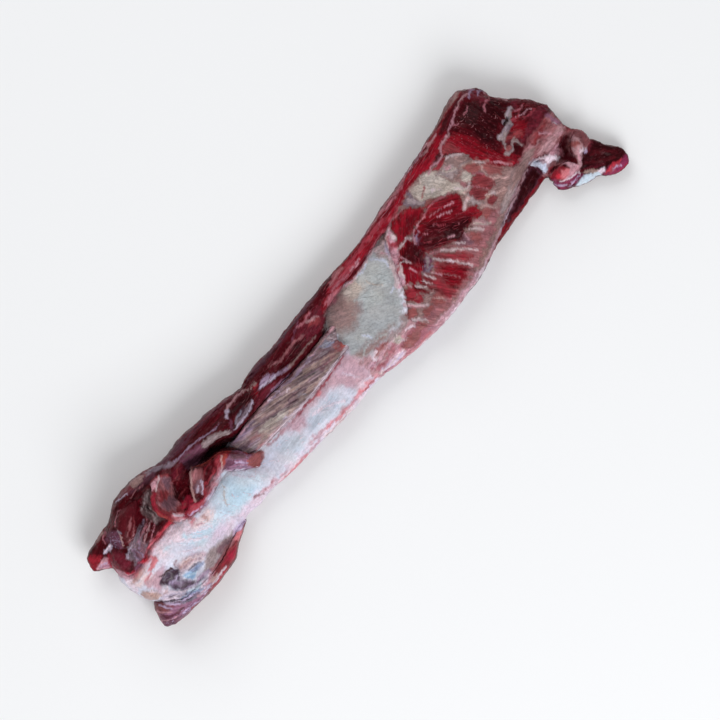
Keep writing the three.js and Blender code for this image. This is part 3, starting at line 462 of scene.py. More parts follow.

# %% Patches and strands of the bare bone
# Red lines, spots and a rosy patch on the bone along the lower edge of the loose sheet
# The bluish white patches below are partly the wet bone's colour and partly painted highlight, brightest near
# the knuckle end.
# The dark strand below is painted shade in a groove.
# The dark strand below is painted shade in a groove.
# The dark strands below are painted shade in the grooves of the pit.
# The pale patch below is painted light, lifting the bone where the ruffle's shadow falls.
BARE_BONE = read_rows("""
bone 12 1.5 0 o -134,20 -118,14 -110,17 -100,20 -92,21 -86,15 -78,9 -72,3 -84,0 -98,0 -112,6 -124,8 -134,12
bone blue 8 1.5 0 o -118,12 -106,18 -94,19.6 -86,12 -82,4 -88,0 -100,0 -112,4
sky 9 1.2 0 o -110,6 -104,11 -100,16.6 -95.6,19 -92,14 -87.6,5 -88,-0.6 -98,-1 -105,1
sky 7 1.2 0 o -132,16 -126,12 -118,10 -112,8 -112,5 -122,6 -132,9
bone shade 8 1.5 0 o -68,6 -58,6 -50,1 -50,-6 -60,-7 -66,-2
bone grey 10 1.5 0 o -88,8 -78,10 -68,10 -66,0 -76,-4 -84,0
bone rose 8 1.6 0 o -54,9 -30,6.4 0,6 5,2 2,-8 0,-15 -10,-14 -15,-9 -20,-1 -34,3 -46,3
bone shade 7 1.5 0 o -44,0 -34,0 -24,-2 -17,-4 -14,-10 -22,-12 -36,-9 -46,-6
sky 1 0.8 0.16 ~ -139,21 -136,16 -133,12
milk 1.2 0.8 0.2 ~ -135,18 -131,13 -126,8
milk 1 0.8 0.2 ~ -131,19 -126,13.6 -120,9
sky 1 0.8 0.16 ~ -129,15 -124,10.6 -118,7
milk 1.2 0.8 0.2 ~ -142,16 -138,11.6 -133,8
milk 1.4 1 0.4 ~ -38,-1 -31,-3 -25,-6.6 -21,-10
bone 1.2 1 0.3 ~ -36,-3 -31,-5.4 -27,-9
bone 1 1 0.3 ~ -32,-1.6 -27,-3.6 -22,-7
bone 4 1 0.2 o -19,-3.4 -15.6,-4 -15,-10.4 -18.6,-11.4 -21,-7
bone pink 1.4 1 0.3 ~ -10,-1 -8,-5 -7,-9
bone rose 1.2 1 -0.2 ~ -12.6,2 -10,-2 -9,-7
bone 1.2 1.2 0.16 ~ -91.6,18 -88.6,12 -86.6,6 -86,1
bone pink 1.2 1.2 -0.2 ~ -90,17 -87,10 -84.6,4
milk 8 1.5 0 o -152,27 -148,29 -140,27.5 -132,26 -127,24 -126,19 -133,17 -140,18 -150,19
milk 3 1 0 o -139,27 -131,26 -126.6,24 -125.6,20 -131,18.4 -138,20
bone blue 6 1 0 o -95,15 -91,15 -87,9 -83,5 -80,2 -86,2 -92,8
bone 3 1.5 0 o -147,23 -144,25 -139,22 -137,16 -140,14 -145,17
sky 2 1 0.1 o -146,23 -144,23.6 -143,22 -145,21.4
sky 2.4 1 0.1 o -134,19.6 -131.6,19 -132,16 -134.6,17
bone pink 7 1.5 0 o -124,7 -116,6.6 -110,3.6 -109,-1 -116,-1.6 -124,0 -130,3
bone pink 3 1.5 0 o -121,5 -116,5 -114,2.6 -119,1
bone pink 5 1.5 0 o -108,2 -98,1 -90,0 -92,-4 -104,-4 -110,-2
cream 3 1.2 0.3 o -128,17.6 -119,18.3 -113,17.4 -113,14 -117.5,11 -122,12 -127,14.5
tan 1.2 0.8 0.3 o -119.6,17.8 -117,17 -117.4,13 -119.2,12.2 -119.8,15
pale rose 1 0.8 0.2 ~ -124.6,16.6 -122.6,15 -121,13
bone blue 3.6 1.6 0.1 o -101.6,16 -97,19.4 -94.8,19.6 -97.6,16 -102.6,11.6 -107.6,6.4 -109.4,6 -105.6,10.6
curd 1 1 0.1 ~ -98,18 -101,15.6 -103.6,12.6 -106.4,8.4
milk 2 1.2 0 o -175,22 -173,31 -170.6,33 -168.6,28 -170.6,22.6 -173,21
pink fat 1.2 1 0 o -172,31 -171,38 -169,38 -168.6,32 -166.6,28.6 -170,28.6
tan 2 1 0 o -168,20.6 -163,21 -158,19.4 -160,17 -166,16.6
tan 1.2 0.9 0.1 o -171.6,27 -166,27.4 -160.6,26.6 -158.6,25.6 -161,24.6 -167,24.6 -171,25.2
cream 2 1 0 o -171,24.6 -165,24.2 -160.6,24 -164,21.6 -170,21.6
bone rose 4 1.5 0 o -167,20 -163,20.6 -156,20 -152,18 -157,15 -161,12 -166,11
salmon 0.8 0.8 0.3 o -161.6,23.4 -157.6,24.9 -155.4,25.4 -152.3,27.6 -151.2,24 -152.6,21.8 -156,22
salmon 1.3 0.6 0.2 ~ -165.2,21.4 -162.6,21.8 -159,22.4
straw 1 0.8 0.5 o -173.6,19 -170.6,19.6 -168.4,16 -166.2,12.5 -166.8,9.8 -170,10.8 -172.9,13.5
tan 1 0.8 0.2 o -167,10.6 -163,9.4 -162.6,6.6 -166,7.6
milk 0.8 0.5 0.4 ~ -169.2,16 -168,14.4 -166.8,13.6
milk 0.8 0.6 0.3 ~ -167.6,9.4 -165,10.6 -161.6,10
fat 3 1.2 0 o -150,13 -144,11.5 -138,9.5 -134,5 -134,1.6 -142,5 -150,8
tan 1.6 1 0.2 ~ -148,10 -143,8.6 -139,6.4
cream 1.1 0.8 0.3 ~ -147,11.6 -141,9.4 -136,4.4
cream 1.1 0.8 0.3 ~ -146,7.6 -141,5.4 -137,2.8
clay 1.2 0.7 0 ~ -149.8,13.7 -147,14.3
umber 0.7 0.5 -1 o -159.8,17 -156,15.8 -151.3,14.6 -151.3,13.2 -154,13.6 -158,15
pit 1.8 1.4 -0.8 o -162.5,14.4 -157,15 -150.4,13 -149.6,9 -153,7 -154.5,4 -151.5,0 -145,-2.4 -147,-3.6
  -152,-2 -156.6,1 -159,5 -161,9
lavender 1.6 0.9 -0.2 o -160,8.6 -156.6,9 -153,5 -150,0.6 -153,0 -157,3
dusk 2 0.9 -0.4 ~ -161.4,12.4 -157,11 -154,11.6 -150.6,10.4
dusk 1.8 0.9 -0.4 ~ -158,6.6 -155,3.6 -152,0.6 -148,-1.6 -145,-2.6
lilac 0.9 0.7 0.3 ~ -159.6,9.6 -156,8.6 -153,8.8
pearl 0.8 0.7 0.3 ~ -157,5 -154.4,5.6 -152.6,7.6
slate 0.9 0.7 0.3 ~ -155.6,8 -153.4,4.4 -151.6,2.6
lilac 0.8 0.7 0.3 ~ -156.6,2 -153,-0.8 -150,-2.4
wet blue 1 0.7 0.4 o -151.8,6.8 -148.6,5.8 -146,4.4 -145.4,2 -149,0.6 -151,3
blue grey 1 0.7 0.2 o -147,5.4 -143,4.6 -138.4,3 -138.4,1 -143,1.2 -146,2
dusk 0.9 0.5 -0.2 ~ -147,5.6 -143,5 -139,3.2
sky 1.1 0.6 0.3 ~ -150,4.4 -147.4,2.6 -144.6,2
pearl 1.6 1 0 o -169.5,9 -165,9.5 -161,6.5 -157,1.5 -150,-5 -146,-9.5 -152,-9 -158,-4 -164,-0.5 -169,5 @-50
blue grey 1.6 1 0 o -163,1.6 -158.6,1 -153,-3.6 -151,-6.4 -156,-5.6 -161,-2.6 @-40
lavender 1.6 1 0 o -150.6,-1 -146,-3.6 -140,-4.6 -141,-2 -147,0.4 @-20
ash 1.8 1 0 o -143,-1.6 -138,1.6 -131,2.6 -124,1 -116,-1.5 -118,-3 -128,-3.5 -138,-4.5
mauve 2 1 0 o -130,-1 -124,-0.6 -118,-2 -122,-3.8 -130,-3.4
pale rose 1.4 1 0 o -148,-4.4 -142,-4.4 -139,-6 -144,-7 -149,-6.4
pit 1.1 0.8 -0.3 ~ -166,1.6 -163,-1.4 -159,-4
milk 1.2 0.9 0.3 ~ -167.6,6.6 -163.6,2.6 -159.6,0
milk 1.2 0.9 0.3 ~ -164,8 -160.6,4 -157.6,0.6
pit 1 0.9 -0.2 ~ -165.6,5.4 -162,2 -158.6,-1
lilac 1.1 0.9 0.3 ~ -162.6,-1 -158.6,-3 -154.6,-5.6
dusk 1 0.7 -0.2 ~ -160.6,-2.6 -157,-4.6 -154,-6
sky 1.2 0.9 0.3 ~ -156,-1 -152.6,-3.4 -149.6,-4.4
milk 1 0.8 0.3 ~ -151,-5 -147.6,-5.6 -144,-5.4
umber 1 0.5 -0.2 ~ -166.6,4 -165,2.6
# The low edge of the shaft
bone pink 4.5 3 0 ~ -100,-3 -80,-6 -60,-10 -40,-13 -20,-16 -6,-17.8
brown red 1.3 0.8 -0.1 ~ -93.5,-0.8 -91.6,-1.8 -89.6,-3.2
pale rose 2.2 1.4 0 ~ -88,-2.8 -84,-3.8 -80,-5.2 -72,-7.2
brown red 0.8 0.8 0 ~ -87,-3 -85.4,-4
brown red 0.7 0.8 0 ~ -82,-3.4 -80.6,-4.6
pale rose 1.6 0.8 0 ~ -84,-5 -70,-8.4 -60,-10 -48,-11.6
milk 1 0.8 0.3 ~ -86,-4.2 -74,-7.2 -62,-9.2
salmon 1 0.8 0 ~ -80,-6.6 -70,-8.8 -58,-10.6
pale rose 2.6 1.4 0 ~ -50,-8.6 -42,-10 -34,-11.6 -24,-13
salmon 1.6 1.2 0 ~ -40,-10.6 -34,-12 -24,-13.8 -12,-14.4
cream 1.4 1 0.3 ~ -44,-12.6 -34,-14.4 -24,-15.6 -14,-16.4
salmon 2.6 1.2 0.1 ~ -13,-13.6 -8,-15 -2,-16.6 1,-17
scarlet 0.9 1 0 ~ -11,-15 -7,-16 -2,-16.8
milk 1.2 0.8 0.3 ~ -15,-16.4 -11,-16.8
crimson 0.8 0.8 0 ~ 0.6,-16 2,-17.4
bone pink 2 1.5 0 ~ -10,-12.5 -2,-13.5 2,-15
# Blood under the edge of the loose sheet
rose 1.4 0.8 0 ~ -66,9.6 -54,7.6 -42,6.4 -30,5.4 -18,4.8 -2,4.8
crimson 0.9 0.6 0 ~ -48,7 -36,5.8 -26,4.9 -16,4.6
salmon 0.9 0.8 0 o -29,5 -27,3.4 -25,3 -24.6,4.8
crimson 0.9 0.6 0 o -19,5.2 -16,3.8 -12.6,4.6 -13,5.4
crimson 0.8 0.6 0 ~ -10,5 -6,4.6 -2,5
bone rose 6 2 0 o -56,8 -44,7 -40,2 -42,-1 -50,1
# The tip of the ruffle
violet 1 0.7 0 o -91,20.6 -88,18.2 -85,14 -82,9.6 -79.6,7.6 -76,7.4 -74,12 -76,16 -79,24 -86,24
brick 1 0.7 0 o -82,13 -80,14.6 -76,14.6 -72,12.8 -69,10.8 -72,8.8 -77,7.2 -80.6,9
mauve 1 0.7 0 o -80,24 -77.6,19 -76,15 -78,14.6 -80.6,18 -84,22.6
plum 1 0.7 0 o -92,22.4 -86,23.6 -82.6,20 -84,18.6 -88,20
lavender 1 0.7 0.2 ~ -86,17.6 -83.6,14.6 -81.6,11
lilac 0.9 0.7 0.2 ~ -83.6,19 -81.6,16 -80.6,13
# The grey window of bare bone
window 3 1.2 0 o 4,22 9,26 20,30 28,29.6 38,26 50,26 66,28 70,24 62,20 57,12 50,6 46,1 44,-1 40,-6 34,-10
  30,-10.5 22,-9 14,-7.5 8,-7 4,-6 3,-2 1,1 3,5 4,12 6,18 @-35
window brown 9 2 0 o 5,20 9,27 20,30 30,29 32,22 27,14 16,9 7,11 @-35
beige 6 2 0 o 10,24 18,27 22,24 20,17 14,14 9,17 @-35
curd 6 1.5 0 o 26,26 36,25.4 38,18 30,15 25,19 @-35
window light 4 1.5 0.1 o 36,24 46,24 50,21 51.6,14 50,9 44,8 40,14 36,18
window light 5 1.5 0 o 27,15 33,17 38,12 40,4 34,4 28,9
window brown 4 1.5 0 o 2,0 8,-1 20,-4 30,-8 20,-9 8,-7 3,-5
ash 2 1.2 0 o 53.6,25 60,26 66,26.4 64,22 60.4,20 57.6,14.6 55.2,12 55,17 53.6,22
peach 1.6 0.8 0.3 ~ 53.6,26 56,24.6 60,23.6 64,24
pale rose 0.9 0.8 0.3 ~ 56,21 58,18.6 58.4,15.6
ice 1.3 0.6 0.4 ~ 50,23.4 52.2,21.4 53.8,18 53.9,15 53.2,13
ice 1.2 1 0.3 ~ 36.5,24.8 40,24 43,23 46.5,24.2
window light 1.2 1 0.3 ~ 26.5,17.5 31,13.4 37,8.6
window light 1 1 0.3 ~ 29,16.6 33,15 38,10.6
curd 1 1 0.3 ~ 38.4,18 39.4,14 43,9.6
window light 1 1 0.3 ~ 44,17 47,13.6 48.6,10
ice 0.9 0.6 0.4 ~ 13.4,3.4 14,1.6 15.3,-0.4 15.2,-1.6
window light 0.9 1 0.2 ~ 10,5 11.4,2.6 11.6,0
window light 1 1 0.3 ~ 5.6,-3.6 8.6,-2 12,-2.8 15,-4.6
ash 0.9 1 -0.2 ~ 9.6,-3.6 13,-4 16,-5.8
window light 0.9 1 0.3 ~ 17,-4.6 20,-5.6 22,-7.6
window light 0.9 1 0.3 ~ 34,1 37,-1 39.6,-3.6
ice 1 1 0.2 ~ 42,3.4 45,3.8 47,2.6
# Torn skin along the side of the strip
pale rose 1.2 1 0.2 o 20,29.6 26,29.6 33,26.8 38,25.6 37,23.8 32,24.6 27,27 22,28.2
milk 0.9 0.6 0.3 ~ 30,27 34,25.4 37.6,24.4 39,25
pale rose 1.3 0.6 0.3 ~ 38,25.2 44,25 52,25.8 60,26.8 68,27.2
peach 0.9 0.6 0.3 ~ 40,24.6 47,24.8 55,25.6
# Fat and scraps under the window
pale rose 1.6 1 0 o -2,-13 10,-12 24,-12 40,-12 43,-27 30,-27.6 16,-24.6 2,-21
rose 2.4 1 0 o 19,-17 26,-16.6 40,-16.6 41,-24 32,-25 20,-23
beige rose 1.4 1.5 0 o 0,-4 8,-8 22,-9.6 30,-11 38,-9 40,-16 30,-15 20,-16 10,-18 2,-19 -1,-14
rose 1.2 1.2 0 o 2,-13.6 8,-14.6 14,-14.6 20,-13 26,-14 20,-16 10,-17 3,-16.6
pink fat 1.2 1.3 0.2 o 0,-9 6,-10.6 12,-11.4 18,-11 22,-13 16,-13.6 8,-12.8 1,-12.4
ash 1.2 1 0 o 17,-8.6 22,-9.6 32,-11 38,-9.6 37,-12 28,-13.6 20,-12
brick 1 0.8 0.1 o 9,-7.6 12,-7 15,-8.2 18,-9.6 21,-10.6 14,-10.6 9.4,-9.6
garnet 0.8 0.6 -0.2 ~ 1,-12 4,-11.6 7,-11.8
garnet 0.9 0.6 -0.2 ~ 4,-14.4 6.4,-15 8,-15.8
brick 0.8 0.6 -0.1 ~ 11,-13.4 15,-13.2 17.6,-13.6
milk 1.1 0.6 0.4 ~ 6,-10 7,-8.6 9.4,-8 11,-8.6
milk 1 0.7 0.4 ~ 6.6,-10.6 9,-10.4
cream 1.1 0.8 0.4 ~ 20,-12.6 22.6,-13 24.6,-12.4
milk 0.9 0.7 0.4 ~ 21.6,-14.4 23.6,-16 24.6,-17.4
cream 0.8 0.7 0.4 ~ 26,-17.4 27.4,-18.4
curd 1 1 0.2 o 20,-14 23,-12.6 26,-14 25,-16.4 21,-16
curd 1 1 0.2 o 30,-15.4 34,-14.4 38,-15.6 36,-17 31,-16.6
ash 1 1 0.2 o 32,-9 35,-8 37.4,-10.6 34,-13 32,-11.6
lilac 1.6 1 0 o 3,-16.6 9,-17.4 15,-18.4 20,-20 19,-22 12,-20.6 5,-19
cream 1 1.2 0.3 ~ 2,-17 8,-18.4 14,-19 20,-20.4
milk 1 0.8 0.3 ~ 10,-20.2 15,-21.4 20,-21.6
beige rose 1.2 1.2 0.1 o 27,-14.6 34,-14 38,-15.6 41,-20 43,-22 37,-17.6 30,-17 27,-16
milk 1.1 0.8 0.4 ~ 30,-15 32.6,-16 34,-17.4
peach 1.1 0.7 0.4 ~ 36.6,-14.6 38.6,-18 40.6,-20.6 40.4,-22.4
brick 1 0.7 0.3 o 21,-19 24,-17.6 27,-17.2 31,-18.4 33.6,-20.6 32,-22.8 25,-23.4 21.6,-21.4 @-50
brick 0.9 0.7 0.3 o 31.6,-17.2 35,-17.6 38.6,-18.6 38.4,-22 34.6,-22 32.6,-20 @-50
brick 1 0.8 0.3 o 35,-12 38,-9.4 42,-9.6 43.3,-12 41.6,-15.3 37,-15 @-60
rose 1.2 1 0 o 18,-22.4 26,-24 36,-24 44,-25 50,-28.6 40,-29.6 30,-27.6 20,-24.6 @-10
salmon 1.2 0.8 0 ~ 2,-19.6 8,-21.6 18,-23.6 30,-26 40,-28.2 48,-29.6
crimson 0.7 0.8 0 ~ 4,-18.6 10,-20.4 16,-21.8
cream 1.2 0.8 0.2 ~ 16,-24.4 26,-26.6 36,-28.8 46,-30.4
milk 1 0.8 0.2 ~ 24,-27 34,-29.2 42,-30.4
""")

# %% Patches and strands of the long strip of meat
# The dark patch below is painted shade inside the fold of fascia.
# The ruby band along the low wall of the strip below is partly the wall's red and partly painted light,
# lifting the shade under the overhang.
LONG_STRIP = read_rows("""
maroon 1.4 0.8 0 o -112,56 -90,53 -60,47 -48,43 -30,43 0,41 20,38 34,36 20,30 10,26 0,20 -40,22 -70,27
  -78,30 -86,38 -100,45 -110,50 @-4
deep purple 1.8 1 0 o -112,56 -90,53 -60,47 -48,43 -48,40 -60,42 -80,46.5 -100,47.5 -108,51 @-8
deep purple 1.6 1 0 o -46,40 -38,43 -20,41 0,40.5 20,38 20,35.5 -2,37 -20,37 -32,38.5 @-2
fascia 1 0.8 0.4 o -118,57 -112,54.5 -108,50.5 -103,47.3 -100,46 -101,44.7 -106,46.3 -110,49.5 -114.5,52.5
  -118,54
plum 1 0.7 0 o -101,45 -95,44.3 -88,41.5 -84,40 -86,35.6 -96,35.6 -102,38 @-8
lavender 1 0.6 0.2 ~ -103,46.4 -98,45.5 -92,44.8 -87,43.2 -80,40.4 -71,38
grey fat 1 1 0.1 ~ -98,43 -95,42.5
ash 1 0.8 0.2 o -88,39.3 -84,40.1 -79,38.8 -75,35.7 -72,33.5 -70.5,31.3 -73,31 -77,33.3 -82,35.6 -87,36.6
  @-25
maroon 1.2 1.2 0 o -75,38.5 -68,38 -63,36 -66,32 -71,30.5 -72,33.6
plum 1 0.8 0.1 ~ -71,30.6 -68.5,33.2 -66,35.6
dark maroon 1 0.8 0 o -64,39 -56,38.8 -49,36.5 -47.5,33.5 -50,31.8 -56,32.6 -62,34.2 -65,36 @-8
pearl 1.8 0.3 0.5 ~ -66.4,37.4 -65,38.2 -63.6,39.2
beige rose 1.2 0.8 0.2 ~ -62,40.2 -55,39.9 -50,38.3 -46,36
window brown 1 1.2 0.1 ~ -49,37.6 -46,36 -42,36.3
maroon 1 0.8 0 o -75,29.5 -68,29.6 -56,28.9 -48,30 -40,29.8 -32,28.6 -24,24.8 -2,23 8,20 -20,19 -40,22.5
  -70,25 -78,27 @-6
wine 1.4 1 0 o -50,30.5 -40,29.8 -34,28 -38,25.5 -46,26.5 -54,27
fascia 0.8 0.7 0.3 o -70,30.2 -66,31.4 -61.5,33.6 -58.5,33.8 -54.5,32 -50,31.4 -52,30.2 -56,29 -60,29.2
  -69,29.5
dusk 1 0.9 0 o -66,31.6 -62,34 -57,33.8 -53,32.2 -58,31.6
pearl 1 0.6 0.1 ~ -69.6,30 -65,29.9 -60,29.5 -55,29.4 -51,31
slate 0.9 0.6 0.3 ~ -66,31.6 -62.6,33.4 -59,33
red 1 0.8 0.2 o -48,33.4 -44,35.4 -42,35.4 -43,32.6 -47,31.4
lavender 0.8 0.6 0.2 o -44.3,32.2 -40.5,33.8 -38,33.8 -33.5,31.5 -31.3,29.5 -35.5,29.4 -40.5,31
pearl 0.7 0.4 0.2 o -44.6,32.6 -41,32 -36,30.9 -30,28.7 -30,27.9 -36,29.4 -41,30.6
lavender 1 0.6 0.3 ~ -39,33.6 -36.4,33.4 -34,32
lavender 1.6 0.5 0.1 ~ -31,28.4 -28,27.2 -24,25.4
window brown 0.9 0.4 0.16 ~ -25,25.7 -21,25 -14,24.4 -11,24.9 -2,23.5
wine 2 1.4 0 o -20,30.8 -10,32.4 -3,34 3,33.4 12,32 13,28 8,24.3 3,23 -3,25 -12,27.6 -20,27 @6
dark maroon 1.4 1 0 o -19,29.8 -10,30.3 -4,28 -12,26.8 -19,27.4
rose brown 1.4 0.9 0.1 ~ -30,34.6 -26,33 -24,31.8 -12,31.2 -5,29.8
plum 0.9 0.7 0.1 ~ -12,32.6 -6,34.3 0,36.6
wine 0.8 0.7 0.1 ~ -18,37.4 -10,36.6 -7,37.7
maroon 1 0.9 0.1 ~ -84,46 -70,43.6 -60,42.4 -50,40.6
wine 0.8 0.6 0.1 ~ -90,49 -82,48.3 -76,47.8
wine 0.9 0.8 0.1 ~ -76,46.8 -66,44.6 -56,42.6
brown red 1.8 1.2 0 o 0,29.8 3,31.2 8,29.8 9,27 4,25.6
brown red 0.8 0.6 0.1 ~ 3,34.8 12,34.4
ice 0.7 0.4 0.3 ~ -14,19.8 -12.6,20.5
violet 1.2 0.8 0 o -46,26.6 -38,26 -28,23.4 -18,21.6 -20,20 -32,21.8 -44,24.4
lavender 1.2 0.8 0.2 ~ -40,25.4 -34,23.6 -27,22.6
beige rose 1.2 0.8 0.2 ~ 1,32.6 4,30.6 7,30 8.6,28
rose 1 0.8 0.2 ~ -4,34.6 1,33.4 5,34 12,34.2
# The red half of the strip
red 1.2 0.8 0 o 10,27 20,36 40,36 60,35 100,35.5 125,36.5 152,39 160,32 150,33 130,30 120,27.5 110,25.4
  104,27.4 95,28.4 84,26.5 72,25.2 60,26.4 50,25.4 41,25.1 37,24.5 28.5,28 20,28.6 @2
maroon 1.4 0.8 0 o 8,36 24,37 34,36.6 24,33.6 18,31.5 8,33
fresh red 1 0.9 0.3 o 20,31 25.7,29.8 30,31.8 44,31.3 54,30.8 80,30 96,33 104,34 118,31.4 130,30.5 120,27.8
  110,25.8 104,27.8 95,28.8 84,26.9 72,25.6 60,26.7 50,25.8 37,25 28.5,28.4 @2
rose brown 1 0.8 0.3 o 24.6,33 26.4,34.8 30,35.8 34.3,35.5 38,33.4 38.5,32.5 34,32.8 27,32.6
ruby 1.8 0.8 0 o 12,27.6 20,29.6 28,28.6 36,26 44,26.6 50,27 50,25.6 41,25.2 37,24.6 28.5,27.6 20,28.2 @2
rose 2 1 0 o 15,29.6 21,31 25,28.6 21,26 15,27 @2
ruby 2 1 0 o 50,27.6 60,28 72,27.6 82,28.6 82,27 72,25.8 60,26.6 50,26 @2
ruby 1.6 1 0 o 22,32 28,32.4 36,31.4 42,30.6 48,28.6 42,27.4 36,28 30,29.6 24,30.4 @-8
ruby 1.6 0.9 0.2 ~ 39,31.8 50,31.6 60,31.6 72,31
rose 1 0.9 0.3 ~ 24,30.6 30,30.2 36,28.6
pale rose 0.9 0.9 0.3 ~ 38,29.6 43,28.6 47,29.4
rose brown 1 0.9 0.1 o 52,34.6 56,33.2 64,33.6 72,33 84,32.2 94,32.6 98,34.4 120,35 124,36.4 100,36 70,35.6
pink fat 1 0.8 0.2 ~ 54,33.7 58,33.6 66,34.4
rose 1 0.8 0.2 ~ 73,33.6 80,33 90,32.6 96,33.8
pink fat 0.9 0.7 0.2 ~ 98,34.4 106,34.8 120,35.2
beige rose 0.9 0.8 0.2 ~ 112,33.6 118,33.6 126,34.4
maroon 1.1 0.8 0 o 126,33.5 136,35.5 150,37 158,35 157,32.5 148,33.6 140,32 130,31 @4
beige 0.8 0.5 0.3 o 118,35.4 130,36.9 140,38.8 150,41 154,39 152,36.8 142,36.6 130,36 @6
clay 0.9 0.7 0.2 ~ 128,35.4 140,36.9 150,38.6
""")
